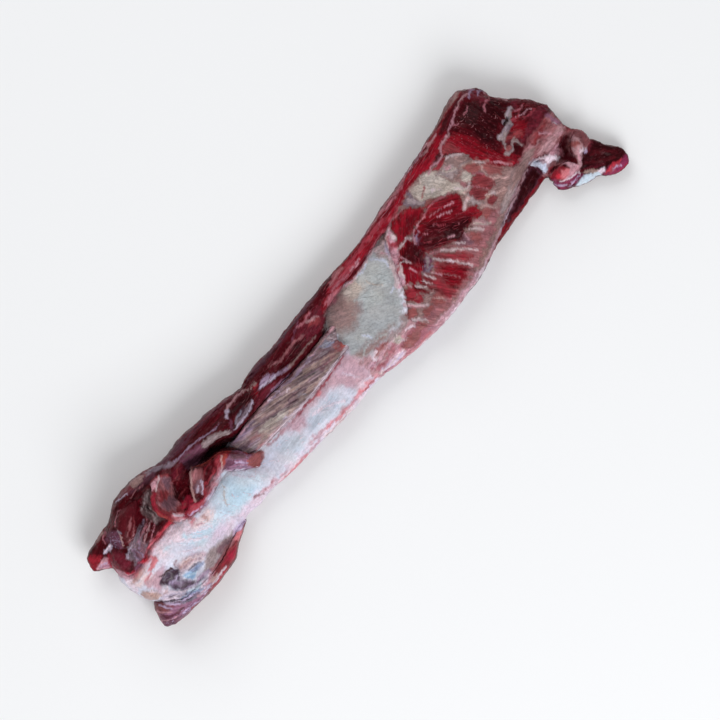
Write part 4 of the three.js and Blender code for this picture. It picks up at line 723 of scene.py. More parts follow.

# %% Patches and strands of the thick meat at the cut end
# The peach patch and strands below are fat along the rim, with their highlights painted in.
# The salmon and pale rose lobe below is pink tissue; its pale lower face and the white line along it are
# partly painted highlight.
CUT_END = read_rows("""
beige 1.2 1 0 o 64,26 84,27 95,29 105,28.4 110,25.4 121,22.5 128,12 128,5 133,-5 138,-12 143,-17 120,-22
  100,-26 92,-29 70,-32 44,-30.6 40,-24 36,-16 39,-10 48,1 60,18 @-30
# Pale fat over the far side
curd 2 1.2 0 o 93,26.6 99,27 106,26.6 109,24 110.6,20 110.6,14 112,10 106,9.5 101,12.5 96.6,16 93,18.6 91,23
  @-50
curd 2.4 1.4 0.2 o 99,26 105,26.6 108,22 108,15 103,13.4 98,17 @-50
fascia 1.4 1 0 o 84.6,26.6 90,27.6 93,28 91,23 93,18.6 91.4,16.8 88,19 85.6,22.6 @-60
ash 1 0.8 0 o 87,26 90,27 91,22 92.6,18 90.6,18 88,21 @-60
garnet 0.8 0.5 0 ~ 94,20.4 96,21.2 97.6,21.6 99.6,23
ash 2 1.2 0 o 109.4,20.6 113,21.6 118,20 119.6,15 116.6,12 111.6,12.6 @-50
beige 1 0.6 0 ~ 108.4,20.6 109.8,17 111,13 110.4,11
window brown 1.6 1 0 o 118,21 121.6,21 126.6,15 127,10 121,11 118,15 @-50
beige rose 1.4 0.8 0.2 o 113,18.6 115.6,20.4 117.6,19 116.4,17 114,17
peach 0.9 0.8 0.5 o 102,14.6 103.6,15.6 104.6,14 103.4,12.8 101.6,13.4
peach 0.9 0.8 0.5 o 99.4,17.2 101,18.4 102.6,17.6 101.6,16.4
curd 1.2 0.9 0.3 o 96.6,14.8 102,11.8 106,9 108.4,5 109.4,1 112,1.6 114,3.6 112.6,8 109,12 102,15 98,16.4
  @-40
curd 1 0.9 0.4 o 114.6,9.6 118,10.4 120.6,8.6 120,4.6 117,4 114.8,6
ash 1.2 0.9 0.1 o 105,1.4 111,1 111.4,-5 110.4,-9.4 108.6,-7 106.4,-3.6 @-20
peach 1.3 0.8 0.4 ~ 119,22 121.4,21.4 123.4,19.4 125.4,17.4 127,15.4
peach 1 0.8 0.3 ~ 108.4,8.6 110,6.4 112.4,3.6 116,2.8
curd 1 0.8 0.3 ~ 101,24.4 104,21 105,17
curd 0.9 0.8 0.3 ~ 112,19.6 115,16 117.6,14.6
ash 0.8 0.8 0.3 ~ 120,14 123,12.4 125.6,10.6
tan 0.8 0.8 0.3 ~ 121.6,18 122.6,15 124.6,12.8
# Brown muscle in steep streaks under the great muscle
rose brown 2.4 1.4 0 o 40,-20 56,-17 70,-10 84,-12 92,-12 100,-17 110,-15 116,-17 110,-20 98,-23 86,-26
  74,-27.6 60,-27.4 46,-25.6 40,-24 @-62
brown red 1.6 1 0.2 o 55.6,-10.4 60.6,-9.6 64,-9 69,-6 73,-9 77,-17 79,-23 74,-25.4 64,-25.4 57.4,-24 56,-18
  @-62
garnet 0.9 0.6 0.4 o 43.6,-5 45.6,-2.2 49.4,-1.6 50.8,-4 51,-8 47.8,-9.6 44.8,-8.4 @-50
garnet 0.8 0.5 0.5 o 45,-9.2 48,-9.8 50.4,-8.4 50.6,-12 48,-13.2 45.4,-12 @-60
red 0.8 0.5 0.5 o 50.8,-2.6 52.6,-3.4 54.2,-7.6 54.2,-12.6 53.2,-13.6 51.6,-11.8 50.6,-7 @-70
brick 0.8 0.6 0.4 o 37,-11 39.6,-9.4 42.4,-10.6 42.8,-14 40.6,-15.4 37.2,-14.6 @-50
brick 0.9 0.7 0.4 o 42.2,-19.8 43,-17 46,-16.4 49.4,-17.6 49,-20.4 45,-21 @-50
brick 1 0.8 0.3 o 50.4,-17 53.6,-16 57.2,-18 57.2,-22 53.4,-23 50.8,-20.8 @-62
red 2 1 0.3 o 63.4,-23 64.6,-15 67,-11 70,-10.4 73,-14 75.4,-19 76,-23.4 70,-24.6 @-62
garnet 1.2 0.8 0 o 58,-24 58.4,-16 60,-11.4 62.4,-13 62,-24 @-62
brown red 0.9 0.6 0.5 o 71,-3.6 74.6,-4.4 79.6,-10.8 85,-18.6 84,-21.8 80,-20.6 76,-12.6 72.8,-8 @-60
garnet 1 0.6 0.3 o 75.6,-9 78,-11 83,-18.6 82,-20.4 79,-17 @-60
brick 1 0.8 0.3 o 90.8,-20 91.6,-14.6 94.6,-13.4 97,-17.4 94,-20.8 @-55
brick 1 0.8 0.3 o 105,-15.6 105.4,-11.6 108.6,-10.4 111.6,-12.4 111.4,-15.6 108,-16.8 @-50
beige rose 1.2 0.9 0.2 o 97.6,-10.4 102,-10.6 104.6,-13.4 105,-17.4 102.4,-18.6 99.4,-15.4 @-55
mauve 1.2 0.8 0.2 o 84,-10 88,-9.6 92,-10 93,-12 90.6,-13.4 90.6,-17 88.4,-17 86.4,-14 84.4,-12.4 @-55
rose brown 0.9 0.6 0.3 o 69.8,-0.6 72.6,-1.2 78,-4.4 82.6,-8.4 84.6,-11.6 81.4,-10 76.6,-6 72,-3 @-50
clay 1.4 0.9 0.1 o 55,-6.6 57,-5.2 60,-4.4 62,-6 62.8,-10.6 60,-11.4 57.6,-12.6 55.4,-9.4 @-62
plum 0.9 0.9 0.3 o 61.4,-2 63,0.8 66.6,-0.2 70.2,-0.8 70,-4 66.6,-7.4 63.2,-7 61,-4.4 @-60
deep purple 0.7 0.5 -0.2 o 61.8,-2 63,-1.4 63.4,-3.4 62.2,-4.2
deep purple 0.7 0.5 -0.2 o 65,-1.4 66.6,-0.8 66.8,-2.4 65.6,-3
peach 0.8 0.5 0.5 o 63.6,0.8 64.6,1.2 65,-0.2 64,-0.6
slate 1.2 0.8 0.4 ~ 61.8,-3.4 63.6,-1.6 64.6,-2.8
ash 1.2 0.8 0.4 ~ 64.4,-4.6 66.6,-3.4 68.4,-1.6
slate 1 0.8 0.4 ~ 63,-5.6 65.4,-5.6 67,-6.6
red 0.9 0.5 0.2 ~ 54.8,-6.6 56,-9 57,-11.6
red 0.9 0.5 0.2 ~ 58.6,-6 59.8,-9 60.4,-12
pale rose 0.9 0.5 0.5 o 41,-5.6 42.4,-7.4 44.6,-11 46.6,-13.4 48.4,-16.4 46.4,-17 44,-14.4 42.4,-11
  40.4,-8.4 39.6,-6 @-60
peach 1.4 0.8 0.4 ~ 41.4,-6.4 43.4,-10 45.4,-13.6 47.6,-16
peach 1.1 0.7 0.3 ~ 36.4,-14.8 39,-17.6 40.6,-20 40.6,-22.4
peach 0.8 0.5 0.3 ~ 52.4,-5 53.8,-7.8 55.4,-10
peach 0.8 0.5 0.3 ~ 56.4,-5.4 57.4,-8 58.6,-11.4
peach 0.7 0.5 0.3 ~ 60.4,-5.6 61.2,-8.6 61.8,-12
pale rose 0.6 0.5 0.2 ~ 63.6,-8 65,-11 65.8,-14
peach 0.9 0.7 0.3 ~ 70,-4 72.4,-8 75,-12.6 76.8,-16.6 78.4,-20.6 80,-24
milk 1 0.4 0.4 ~ 74,-11.4 75.6,-14
peach 1 0.5 0.4 ~ 76.4,-4.8 80,-9 83.2,-13.4 86.4,-17.6 88.6,-21.2
peach 1 0.6 0.3 ~ 84,-8.6 86,-11.4 87.6,-13.4
pale rose 0.8 0.6 0.3 ~ 92,-10.2 91,-12 90.4,-14
peach 1 0.6 0.3 ~ 95.4,-10.8 97.6,-14 99.6,-17
curd 1.1 0.6 0.3 ~ 99,-11.4 102,-15.4 104.6,-18.6
tan 0.7 0.6 0.2 ~ 53,-17 55,-20.4 56,-23
rose brown 0.8 0.6 0.2 ~ 66.6,-13 69,-18 70.4,-22
# The great muscle
pink fat 0.9 0.8 0.4 o 45.6,2 49,5.8 53,10 57,14 59.4,18.4 63,21.6 66.4,25.6 69.6,25.8 68.4,21 66.6,18.4
  62.6,16 59.6,12.6 56.6,8.8 52.8,4.4 50.6,0.4 48,-0.6
fresh red 0.7 0.8 1 o 51,0.2 52.6,3.6 56.6,8.4 59.6,10.6 62,4 66.4,0 64,-2.6 59.6,-3.6 56.4,-7 53.6,-4.6 @40
fresh red 0.8 0.6 1 o 67.4,17.6 68.8,20 69.6,24.4 74,26.2 80,26.2 84.4,23.4 87.6,18.8 91,16.2 90.6,15
  85,14.8 78,14 73,13.4 70,14.8 65,15 65.4,16.4 @35
maroon 4 1.4 0 o 72,18.6 80,19.6 88,17 89,14.8 80,14.4 72,14 @35
red 2.4 1.4 0 o 70,20 76,19 84,20 90,15.6 88,14.8 80,14.4 73,14 @35
red 0.9 0.8 0.9 o 59.4,10.6 61,13.4 64,14.6 70,14.6 72,11.6 72,5 70,0 62,0 58.6,4 58.4,8.4 @35
brick 0.9 0.6 0.6 o 90.6,15.8 93,17.2 96,15.8 99.4,13.4 102,11.4 98,12.6 94,13.8 91,14.4
fresh red 0.8 0.8 1.1 o 72.6,10.2 76,13 82,14.4 91,14.6 97,13.4 102,11 105.4,8 107.2,5 107.4,2 105,1.2
  101.8,-1 104,-3.2 107,-4.8 108.4,-7 107.4,-9.4 105.6,-12.4 103,-11.6 101,-9.4 96,-9.4 91,-9.4 88,-9.6
  84.6,-8.8 82,-6.6 77,-3.4 74,-1.4 70.6,0.2 69,5 70.6,9 @-38
red 4 1.4 0 o 71,9 78,12.6 88,12.6 97,7 101,1 101,-3 106,-8 104,-11 96,-9.6 88,-9.6 82,-7 76,-2 70,1 @-38
maroon 5 1.4 0 o 72,8 78,10.6 84,9 90,4 96,-1 101,-8 96,-9.8 88,-10 82,-7 77,-2.8 71,1 @-38
maroon 3 1.4 0 o 61,9 67,12 71,10 71,2 67,-1 62,2 @35
dark maroon 3 1.6 0 o 84,-2 90,-1 96,-3 100,-7 96,-9.4 88,-9.6 83,-6 @-38
plum 1.4 1 0 o 71.4,8 72.6,10.4 76,12 76.4,10.4 74.4,8.2 72.6,7 @-30
rose 0.9 0.6 0.4 o 57.4,12.8 59.4,16.4 62,17 63,14.8 60.4,12.2
peach 0.7 0.5 0.4 o 51.6,2.4 52.6,6 54.6,8 57.6,9.2 57.6,7.6 54.6,4.6 52.8,1.8
ruby 0.9 0.6 0.3 o 61.4,17.6 64,19.4 66.6,17.4 65,15.4 62,15.8
peach 0.7 0.5 0.7 o 66.2,18.6 66.4,21.4 67.4,23 68.6,20.8 68.2,18.6
peach 1.5 0.7 0.7 ~ 45.8,2.6 49,3.6 51.4,7 54.4,10.4 57.4,13.6 59.2,17.4 61.4,19.8 64,21.4 66.4,24.4 70,26
peach 1.4 0.9 0.5 ~ 46.6,3 50,6.6 54,11 57,15 59.6,19
crimson 1 0.6 0.2 ~ 53,6.6 56,8.6 58.6,10.6 60.4,13.6
ruby 1 0.6 0.2 ~ 60.6,17.6 63,19.4 65.6,22.6
pale rose 1 0.5 0.4 ~ 47.6,0.8 49.4,0.6 50.4,-1 50.8,-3
peach 0.8 0.4 0.4 ~ 54.8,8.6 58,9 60,8.2 61,6.2 61.4,4
pale rose 0.7 0.4 0.1 ~ 61,10.6 61.2,8.6 61.4,7
pale rose 0.6 0.4 0.1 ~ 58.6,3.4 59,1 59.2,-1.6
peach 0.9 0.5 0.3 ~ 59.6,13.4 62.6,15 65.4,14.2 68.6,13.6 71,14.6 72,12
pale rose 1 0.5 0.1 ~ 71.6,9 74,11.2 77,12.8 81,13.4 86,13
rose 0.9 0.5 0.1 ~ 84,13.2 90,14 95,13.2 100,11.6 105,9.4
lavender 0.8 0.5 0.1 ~ 73,9 75.6,10.4 78,11
rose 0.6 0.5 0.1 ~ 77.4,10.6 78.6,8 80,6
ruby 0.6 0.5 0.1 ~ 74,5.6 76,3.6 77.6,2.4
pale rose 0.8 0.5 0.1 ~ 90.6,6.6 93.4,5.4 97,3.2
pale rose 0.8 0.5 0.1 ~ 97,7.2 99.4,5.6 101.6,4.2
rose 0.7 0.5 0.1 ~ 84.4,6.6 86.6,5.4
ruby 0.7 0.5 0.1 ~ 86.6,4.4 88,2.6 89.4,1
pale rose 0.9 0.5 0.1 ~ 84,-3.4 86,-4.6 87.6,-5.8
rose 0.6 0.5 0.1 ~ 93,-4 94.6,-5.2
ruby 0.7 0.5 0.1 ~ 97,-0.4 99,-1.6
rose 0.6 0.5 0.1 ~ 88,10.6 92,9.4 96,7.6
tan 0.9 0.6 0.4 o 101.2,-2 103,-0.4 106,0.8 109.6,1 110,-1.4 106,-1.6 103.4,-2.8
peach 1 0.6 0.4 ~ 102,-1.8 104.4,-0.8 107.4,-0.4
rose 0.8 0.5 0.1 ~ 69.6,25.4 74,26.4 78,26 82,25.2
# Islands of brown muscle in the fat
brown red 0.7 0.5 0.5 o 111,0.2 113,1.4 115.6,1 117,-2.4 118.6,-7 115.4,-8.6 112,-8.2 110.6,-4.4 @-40
brown red 0.7 0.5 0.5 o 116,2.4 119,3.6 122.6,3 124.8,0.6 125.6,-2.4 125.6,-7 122,-8.6 119,-7.8 117.4,-3
  @-40
brick 0.8 0.6 0.4 o 119.6,10.8 122,11.4 126,8.4 127.2,5.6 125.6,2.6 122.4,3.6 120.6,5.4 @-40
brown red 0.7 0.5 0.4 o 112.6,-10.8 115.6,-9.2 118.6,-10.6 118.8,-13.4 115.6,-14 112.8,-12.8 @-40
rose brown 0.8 0.6 0.3 o 111.8,7.6 114,8 115,5.4 113.6,3.4 111.8,4.8
pale rose 1.2 0.7 0.3 o 55.6,11 57.6,14.6 61,17 64,16.4 62.4,13.6 60,11 58,8.8
pearl 1.2 0.8 0.1 o 56.6,15 58.6,20 62,23.6 63.4,22.4 60.4,18.4
brick 1.2 0.8 0.2 o 127,5 129.8,3 133,-4 132,-8 128.6,-7.4 126.6,-3 126.2,1 @-60
garnet 0.7 0.5 0.4 o 108.4,24.8 112,24 116,24.4 119,23 117,21.8 112,22 109.4,23.2 @-10
brown red 0.9 0.7 0.2 o 119.6,27 124,27.6 127.6,24 128,16.4 126,17.6 122.4,22 120,23.8 @-60
rose 0.7 0.4 0.3 ~ 115.4,1.6 117,-2 119,-6.4
tan 1 0.8 0.4 ~ 125.4,-4 125.2,0 126.2,3 128.4,6.6
tan 1.3 0.8 0.4 ~ 125.8,-5.4 127.8,-8.4 130.4,-11.6
peach 1.2 0.6 0.4 ~ 115.4,-7.6 118,-9.2 120.6,-11.4
tan 1.3 0.6 0.4 ~ 110,-9 111.6,-12.4 113.6,-16
tan 1 0.6 0.3 ~ 120,-11.4 122.4,-13 124.6,-13.8
tan 1.1 0.6 0.3 ~ 110,2.6 112.6,1.8 114.6,2.4
straw 1 0.6 0.3 ~ 119.4,12.4 122.4,11.6 125.6,9.6 128,7
rose 0.7 0.5 0.3 ~ 121,5 123,2.6 124.6,0.6
straw 0.9 0.6 0.3 o 115.4,-7.4 118,-9 117,-10.4 114.4,-9.4
pale rose 1 0.6 0.4 ~ 107,25.4 111,26 114.6,24.6 118.6,24.2 121,27 125,28.6 130,29.2
# The lower face and its rim
ash 2 1.2 0 o 112,-18.6 124,-16 134,-12.6 144,-13 150,-15 143,-17.4 130,-19.6 114,-21 @8
pink fat 2.4 1.2 0 o 36,-25 46,-26 60,-28 76,-28.4 84,-29 76,-30.6 60,-30 44,-29 @4
pale rose 2 1 0 ~ 38,-27.4 46,-29.4 56,-30.6 66,-31.2
milk 2 1.2 0 ~ 46,-30.4 58,-31 66,-31.6 76,-31.4 86,-30.2
bone rose 1.6 0.9 0.1 ~ 86,-29.2 92,-28.2 100,-26.4 108,-24.6 116,-22.7 124,-21 132,-19.2 143.4,-16.8
beige rose 1 0.9 0.4 ~ 88,-29 94,-28 101,-26.4
veil 0.9 0.9 0.4 ~ 104,-25.6 111,-24 118,-22.4
beige rose 0.9 0.9 0.4 ~ 120,-22 128,-20.4 136,-18.6
rose brown 1 0.8 0 ~ 84,-30.4 90,-30 96,-29
deep purple 0.7 0.5 0 o 102,-27.2 110,-25.6 122,-22.5 135,-19.9 143,-18 146,-20 146,-30 102,-30 @8
dark maroon 1.4 1 0 o 112,-25.6 124,-22.6 136,-20.4 143,-19.4 144,-26 130,-26.6 112,-27
red 1.2 1 0 o 92,-28.8 98,-27.6 108,-25.6 112,-26.6 120,-26.8 135,-27 145,-27 146,-31 98,-31 @4
# The cap
fresh red 0.9 0.7 0.5 o 121.6,26.4 126,27.8 131,27.6 132,20 133,10 137,2 140,-2 143,-8 144,-10.6 139,-11.8
  136,-9.4 133,-4.4 130.6,0 128.4,7 127.4,14 124.6,21 @-70
brown red 1 0.6 0.1 o 121.6,26 125,27.4 128,26.4 127.6,18 126.4,17.6 123.6,21.6
red 3 1.2 0 o 130,27 140,27 139,15 139,5 143,0 142,-8 138,-5 134,0 131,8 130,18 @-80
maroon 1.6 1.2 0 o 134,30 140,31.6 150,33.6 155,31.8 158,28 161,23 163,17 165,12.6 160,10.6 158,7.6 153,5.2
  148,6.6 145,6 143.6,2 140,0 137,6 137,15 136,22 133,28 @-80
dark maroon 2.4 1.6 0 o 139,28 150,31 155,26 160,20 162,14 156,10 148,9 143,8 140,4 138.6,12 140,20 @-80
wine 1.6 1 0 o 131,30.6 140,33 150,35.6 154,34.6 150,32.6 140,31 131,28.8 @8
wine 1.4 1 0.1 o 152,32.6 156,35 160,33 162.6,29 161.8,22 157,21.6 153,22.6 156,27 @-60
beige rose 1.1 0.8 0.3 ~ 121,27.8 124,28.6 127,28.4 131,28.6
pale rose 1.1 0.9 0.3 ~ 132,30 137,30.6 141,31.8 145,33.4
beige rose 1.1 0.9 0.3 ~ 145.6,33 149,34.4 153,33.4 156,32.4
lavender 1 0.8 0.3 ~ 153.6,30.6 156.4,33 159.4,31.6
lavender 1 0.8 0.3 ~ 157,27.6 160,29.4 162.4,27
rose 0.9 0.9 0.2 ~ 152.6,19.6 155,21.6 158,22.4 161.6,22
rose 0.8 0.8 0.2 ~ 144,28.6 147,27.6 149,28.4
beige rose 1.6 0.8 0.1 ~ 161.8,26 163,20 165.4,13.6
clay 1.4 0.8 0.1 ~ 163.6,27 164.6,21 166.4,15
beige 1.2 0.8 0.1 ~ 127.4,9.6 129,7.6 130,4.6 132,2
peach 0.9 0.8 0.16 ~ 127,8.6 128.6,6.4 129.6,3.6
rose brown 1.2 0.8 0.1 ~ 132,1 134,-2.6 136,-5.6 137.6,-9
pale rose 0.8 0.8 0.16 ~ 133.6,-1 135,-4.6 136,-7.6
rose 0.8 0.6 0.2 ~ 136,29.8 138.2,27.6
ash 0.8 0.9 0.3 o 139.4,-3 143,0 144,4 145.6,6.4 149,4.8 153,6.4 158,9.6 161,10.4 163.4,9 160,6 156,4.4
  153.4,1.6 150,2.4 146,1.4 143,-1.6 141,-5 139,-4
veil 1.1 0.7 0.3 ~ 144.6,5.6 147.6,4.4 150.6,5.6 153.6,5
veil 1.2 0.7 0.3 ~ 156,6 158.6,9 162,9.6
fascia 1 0.7 0 o 150,4.6 154,5 155.6,3 152,1.6
wine 0.9 0.9 0.2 o 149,1.6 153,1.2 156,4.2 160,6.2 163,8.8 166,10.6 170,8.6 173,3 175,-1 177,-6 172,-9
  165,-9 156,-8.6 151,-8 149.6,-4 147,-1 145,0.6 @-45
red 1.6 1.2 0 o 150,0 156,4 163,7 167,9 164,2 160,-4 153,-6 @-35
maroon 1.6 1.2 0 o 161,4 166,8 170,6.6 173,0 176,-6 170,-8 164,-6 160,-2 @-35
wine 1.6 1.2 0 o 163,-1 168,-2 174,-4 174,-7.6 165,-8 @-20
brown red 1 0.8 0.1 o 145,1.4 148,1.6 150.6,0 153,1 156,-2 154,-5 150,-3 147,0
ash 1.6 0.7 0.3 ~ 140.6,-4.6 144.6,-4.8 147,-2.6 149,-1.8
ash 1.2 0.6 0.3 ~ 147.6,-2 149.6,-4 149.4,-7.6
brick 0.7 0.4 0 o 141,-2 143,-1.2 145,-2 144.6,-3.8 142,-4
maroon 0.8 0.6 0 o 143.6,-6 147,-2.9 149,-4 148.8,-6.6 147,-8.6 143.6,-8
black red 0.6 0.4 -1 o 152.4,7.6 154.4,8.3 157.4,8 157.6,6.7 155.6,5.9 153,6.6
veil 0.8 0.3 0.4 ~ 152.8,7.6 153.8,8.2 154.8,7.8
pale rose 0.7 0.6 0.3 ~ 160,3.6 163.6,1.8 167,1.6 169,-0.4
ruby 0.9 0.6 0.2 ~ 162,0 166,-2 170,-1.6
ruby 0.9 0.6 0.2 ~ 157,4.6 160.6,2.6 164,5
rose 0.8 0.6 0.2 ~ 162,6.6 165,5 168,4.6
rose brown 2 1.2 0 o 138,-11.6 148,-10 156,-9 166,-9.4 174,-10 174,-22 168,-24 162,-22 155,-22 148,-17.6
  143,-16.6 135,-15.6 @-10
beige rose 2 1.2 0 o 152,-17 160,-17.6 168,-17 172,-19 171,-23 164,-22 156,-22 151,-19 @-10
brown red 3 1.4 0 o 153,-9.6 160,-9.4 168,-9.6 169,-13 160,-14.6 153,-13.6 @-10
beige 2 1.2 0 o 137,-12 150,-11.6 153,-15 144,-16.6 130,-19 124,-18 130,-14
violet 2 1 0.1 ~ 171.4,-10 171.4,-13 171.6,-17
pale rose 1 0.8 0.3 ~ 160,-11.6 162,-14 164.6,-16.6
beige rose 1 0.8 0.3 ~ 151,-11.6 153.6,-13.6 157,-14
pale rose 1 0.7 0.3 ~ 166.6,-19.6 168.6,-23
pale rose 0.9 0.7 0.3 ~ 164.6,-18.6 166.6,-21.6
veil 1 0.7 0.3 ~ 170,-14 170.6,-17.6
# Torn fat, and the scrap that hangs by it
rose brown 1 0.8 0 o 143,-27 150,-26 158,-22 170,-22 177,-27 177,-36 170,-38 158,-32 144,-30.6
fat 0.8 0.9 0.3 o 143.4,-16.8 147,-16.5 149,-19 152,-21.4 156,-22.8 158.4,-26 157.4,-29.6 154,-28.4
  151,-26.6 147,-26.4 144.4,-27.6 145.4,-24 144.8,-20
ice 0.8 0.8 0.5 o 143.4,-16.8 147,-16.6 149,-19 148,-22 149.4,-24.6 147,-27 144.6,-27.4 145.6,-23
milk 0.8 0.8 0.4 o 150,-22.6 153,-22.6 155,-25 157,-29 155,-29 153,-26.6 150,-25.4
pale rose 0.9 0.8 0.2 o 153.6,-22.4 156.6,-23.4 158.4,-26 157,-27.6 155,-25
milk 1 0.7 0.5 ~ 148.6,-19 151,-21.4 154,-23.6
ice 0.9 0.7 0.5 ~ 145,-18 147,-20.6 146,-24
pit 1 0.6 -0.3 ~ 147.6,-20 149.6,-22.4
garnet 1 0.8 0.2 o 145,-28.6 148,-27 151,-28.4 153,-30.4 148,-30
pale rose 1 0.8 0.1 o 156,-23 160,-22.4 163,-23.6 160,-25.6 157.6,-26.6
plate 1.2 0.6 0 o 157,-27.6 161,-25 166,-22.4 169.4,-25 167,-27 163,-29 160.6,-35 157,-34 155.6,-31.6
rose 1 0.6 0.6 o 157,-27 160,-25.4 162,-26 160.6,-29 158,-30
clay 0.9 0.5 -0.2 o 151,-29 154.6,-30 156.6,-33.6 158,-33.6 156.4,-29.6
scarlet 1.6 0.8 0 o 143.4,-31 147,-30 152,-30.4 154,-34 154,-38.6 149,-37.6 145,-34.6
poppy 1.2 0.8 0 o 145.6,-33 148.6,-32.4 149.6,-35 148,-36.4
dark maroon 1 0.6 0 o 146,-29.6 150,-30.6 153,-31.4 151,-28.8 148,-28.4
salmon 1.8 1 0.1 o 148,-34.6 151,-33 154,-35 154.6,-39.6 149,-38.4
pale rose 1 0.8 0.2 o 149,-37.4 152,-38 154.8,-37 155.6,-33.6 154.4,-31 157,-34.6 159,-40 157,-42.4
  152,-40.6 148.6,-38.8
milk 1.2 0.6 0.4 ~ 146.4,-36.6 149.6,-39 153,-40.4 156.6,-41.8
pink fat 0.9 0.7 0.1 o 155,-31 157,-34.6 158.6,-38.4 156.6,-38.6 154.8,-35
beige rose 1 0.8 0 o 157.8,-40.4 161.6,-35 163.6,-30.6 168,-26.8 171.4,-27.4 172,-32 168.6,-35 164.6,-38.6
  160,-42 @40
pale rose 1 0.8 0.2 o 159.4,-40.6 162.6,-35.6 165,-34 163.6,-38
brick 1.2 0.8 0 o 163.6,-29.6 166.6,-27.6 169.4,-31 168.4,-33.2 165,-32
clay 1 0.8 0 o 170.6,-28 172.6,-25 174.6,-28 175.6,-33 174.4,-36.6 171,-36.4 169,-33.6 171,-31
brown red 2.6 1 0 ~ 171.6,-23 175,-26 176.6,-30 176.4,-35
milk 1.4 0.8 0.4 ~ 165,-36.4 167,-36.4 169,-37.4
lilac 0.9 0.8 0.4 ~ 166.6,-38.4 168.6,-38
wine 1 0.8 0 o 168.6,-38 171,-36.6 175.6,-37 174,-39.6 170,-40
grape 1 1.2 0 o 142,-31 145,-34.6 148,-38.4 152,-40.4 156.6,-42.4 157,-44.8 152,-45.4 147,-45 143,-41
  141,-35
wine 1.2 1.2 0 o 144.4,-37 148,-41 151,-42.6 149,-44 145,-41
lilac 0.9 0.8 0.3 ~ 142.6,-34 144.4,-38 147,-41.6
lilac 0.8 0.8 0.3 ~ 149,-41.6 152,-43 155,-43.4
lavender 0.8 0.8 0.3 ~ 145.6,-40 148.6,-43.6 152,-44.6
dark maroon 0.8 0.6 0 o 158.4,-41.6 165,-38.6 170,-40 175,-38 178,-42 182,-53 180.4,-56.4 175,-57 168,-54
  161.6,-47.6 @-35
plate 1.6 1 0.1 ~ 163,-43 168,-48 174,-53
plate 1.6 1 0.1 ~ 168,-41.6 173,-46 178,-52
wine 1 0.8 0.2 ~ 159.6,-43 163,-46.6 168,-51
silverskin tan 0.7 0.6 0.2 o 157,-43.8 159.4,-44 163.8,-50 162,-50.8
bone blue 0.9 0.6 0 o 146,-44.4 152,-45.2 157,-45.2 160.4,-48.4 163,-51 162,-54 157,-52.4 150,-49
milk 0.8 0.7 0.2 o 163,-49.8 167.4,-52.2 164.6,-53.8 162.4,-52.6
grape 0.8 0.7 0.2 o 163.4,-53.4 168,-53.2 175,-57 180,-57.4 179,-62 170,-60.6 164.6,-58 @-20
ruby 1.4 1.2 0 o 164,-54 169,-53.8 175,-57.2 172,-58 166,-56.6 @-20
poppy 1 0.8 0.2 ~ 164.6,-54.6 169,-54.2 174.6,-57
lilac 0.9 0.8 0.3 ~ 168,-56.4 171,-57 173,-59
crimson 1.2 0.8 0 ~ 166,-58.6 171,-60.4 177,-61
""")
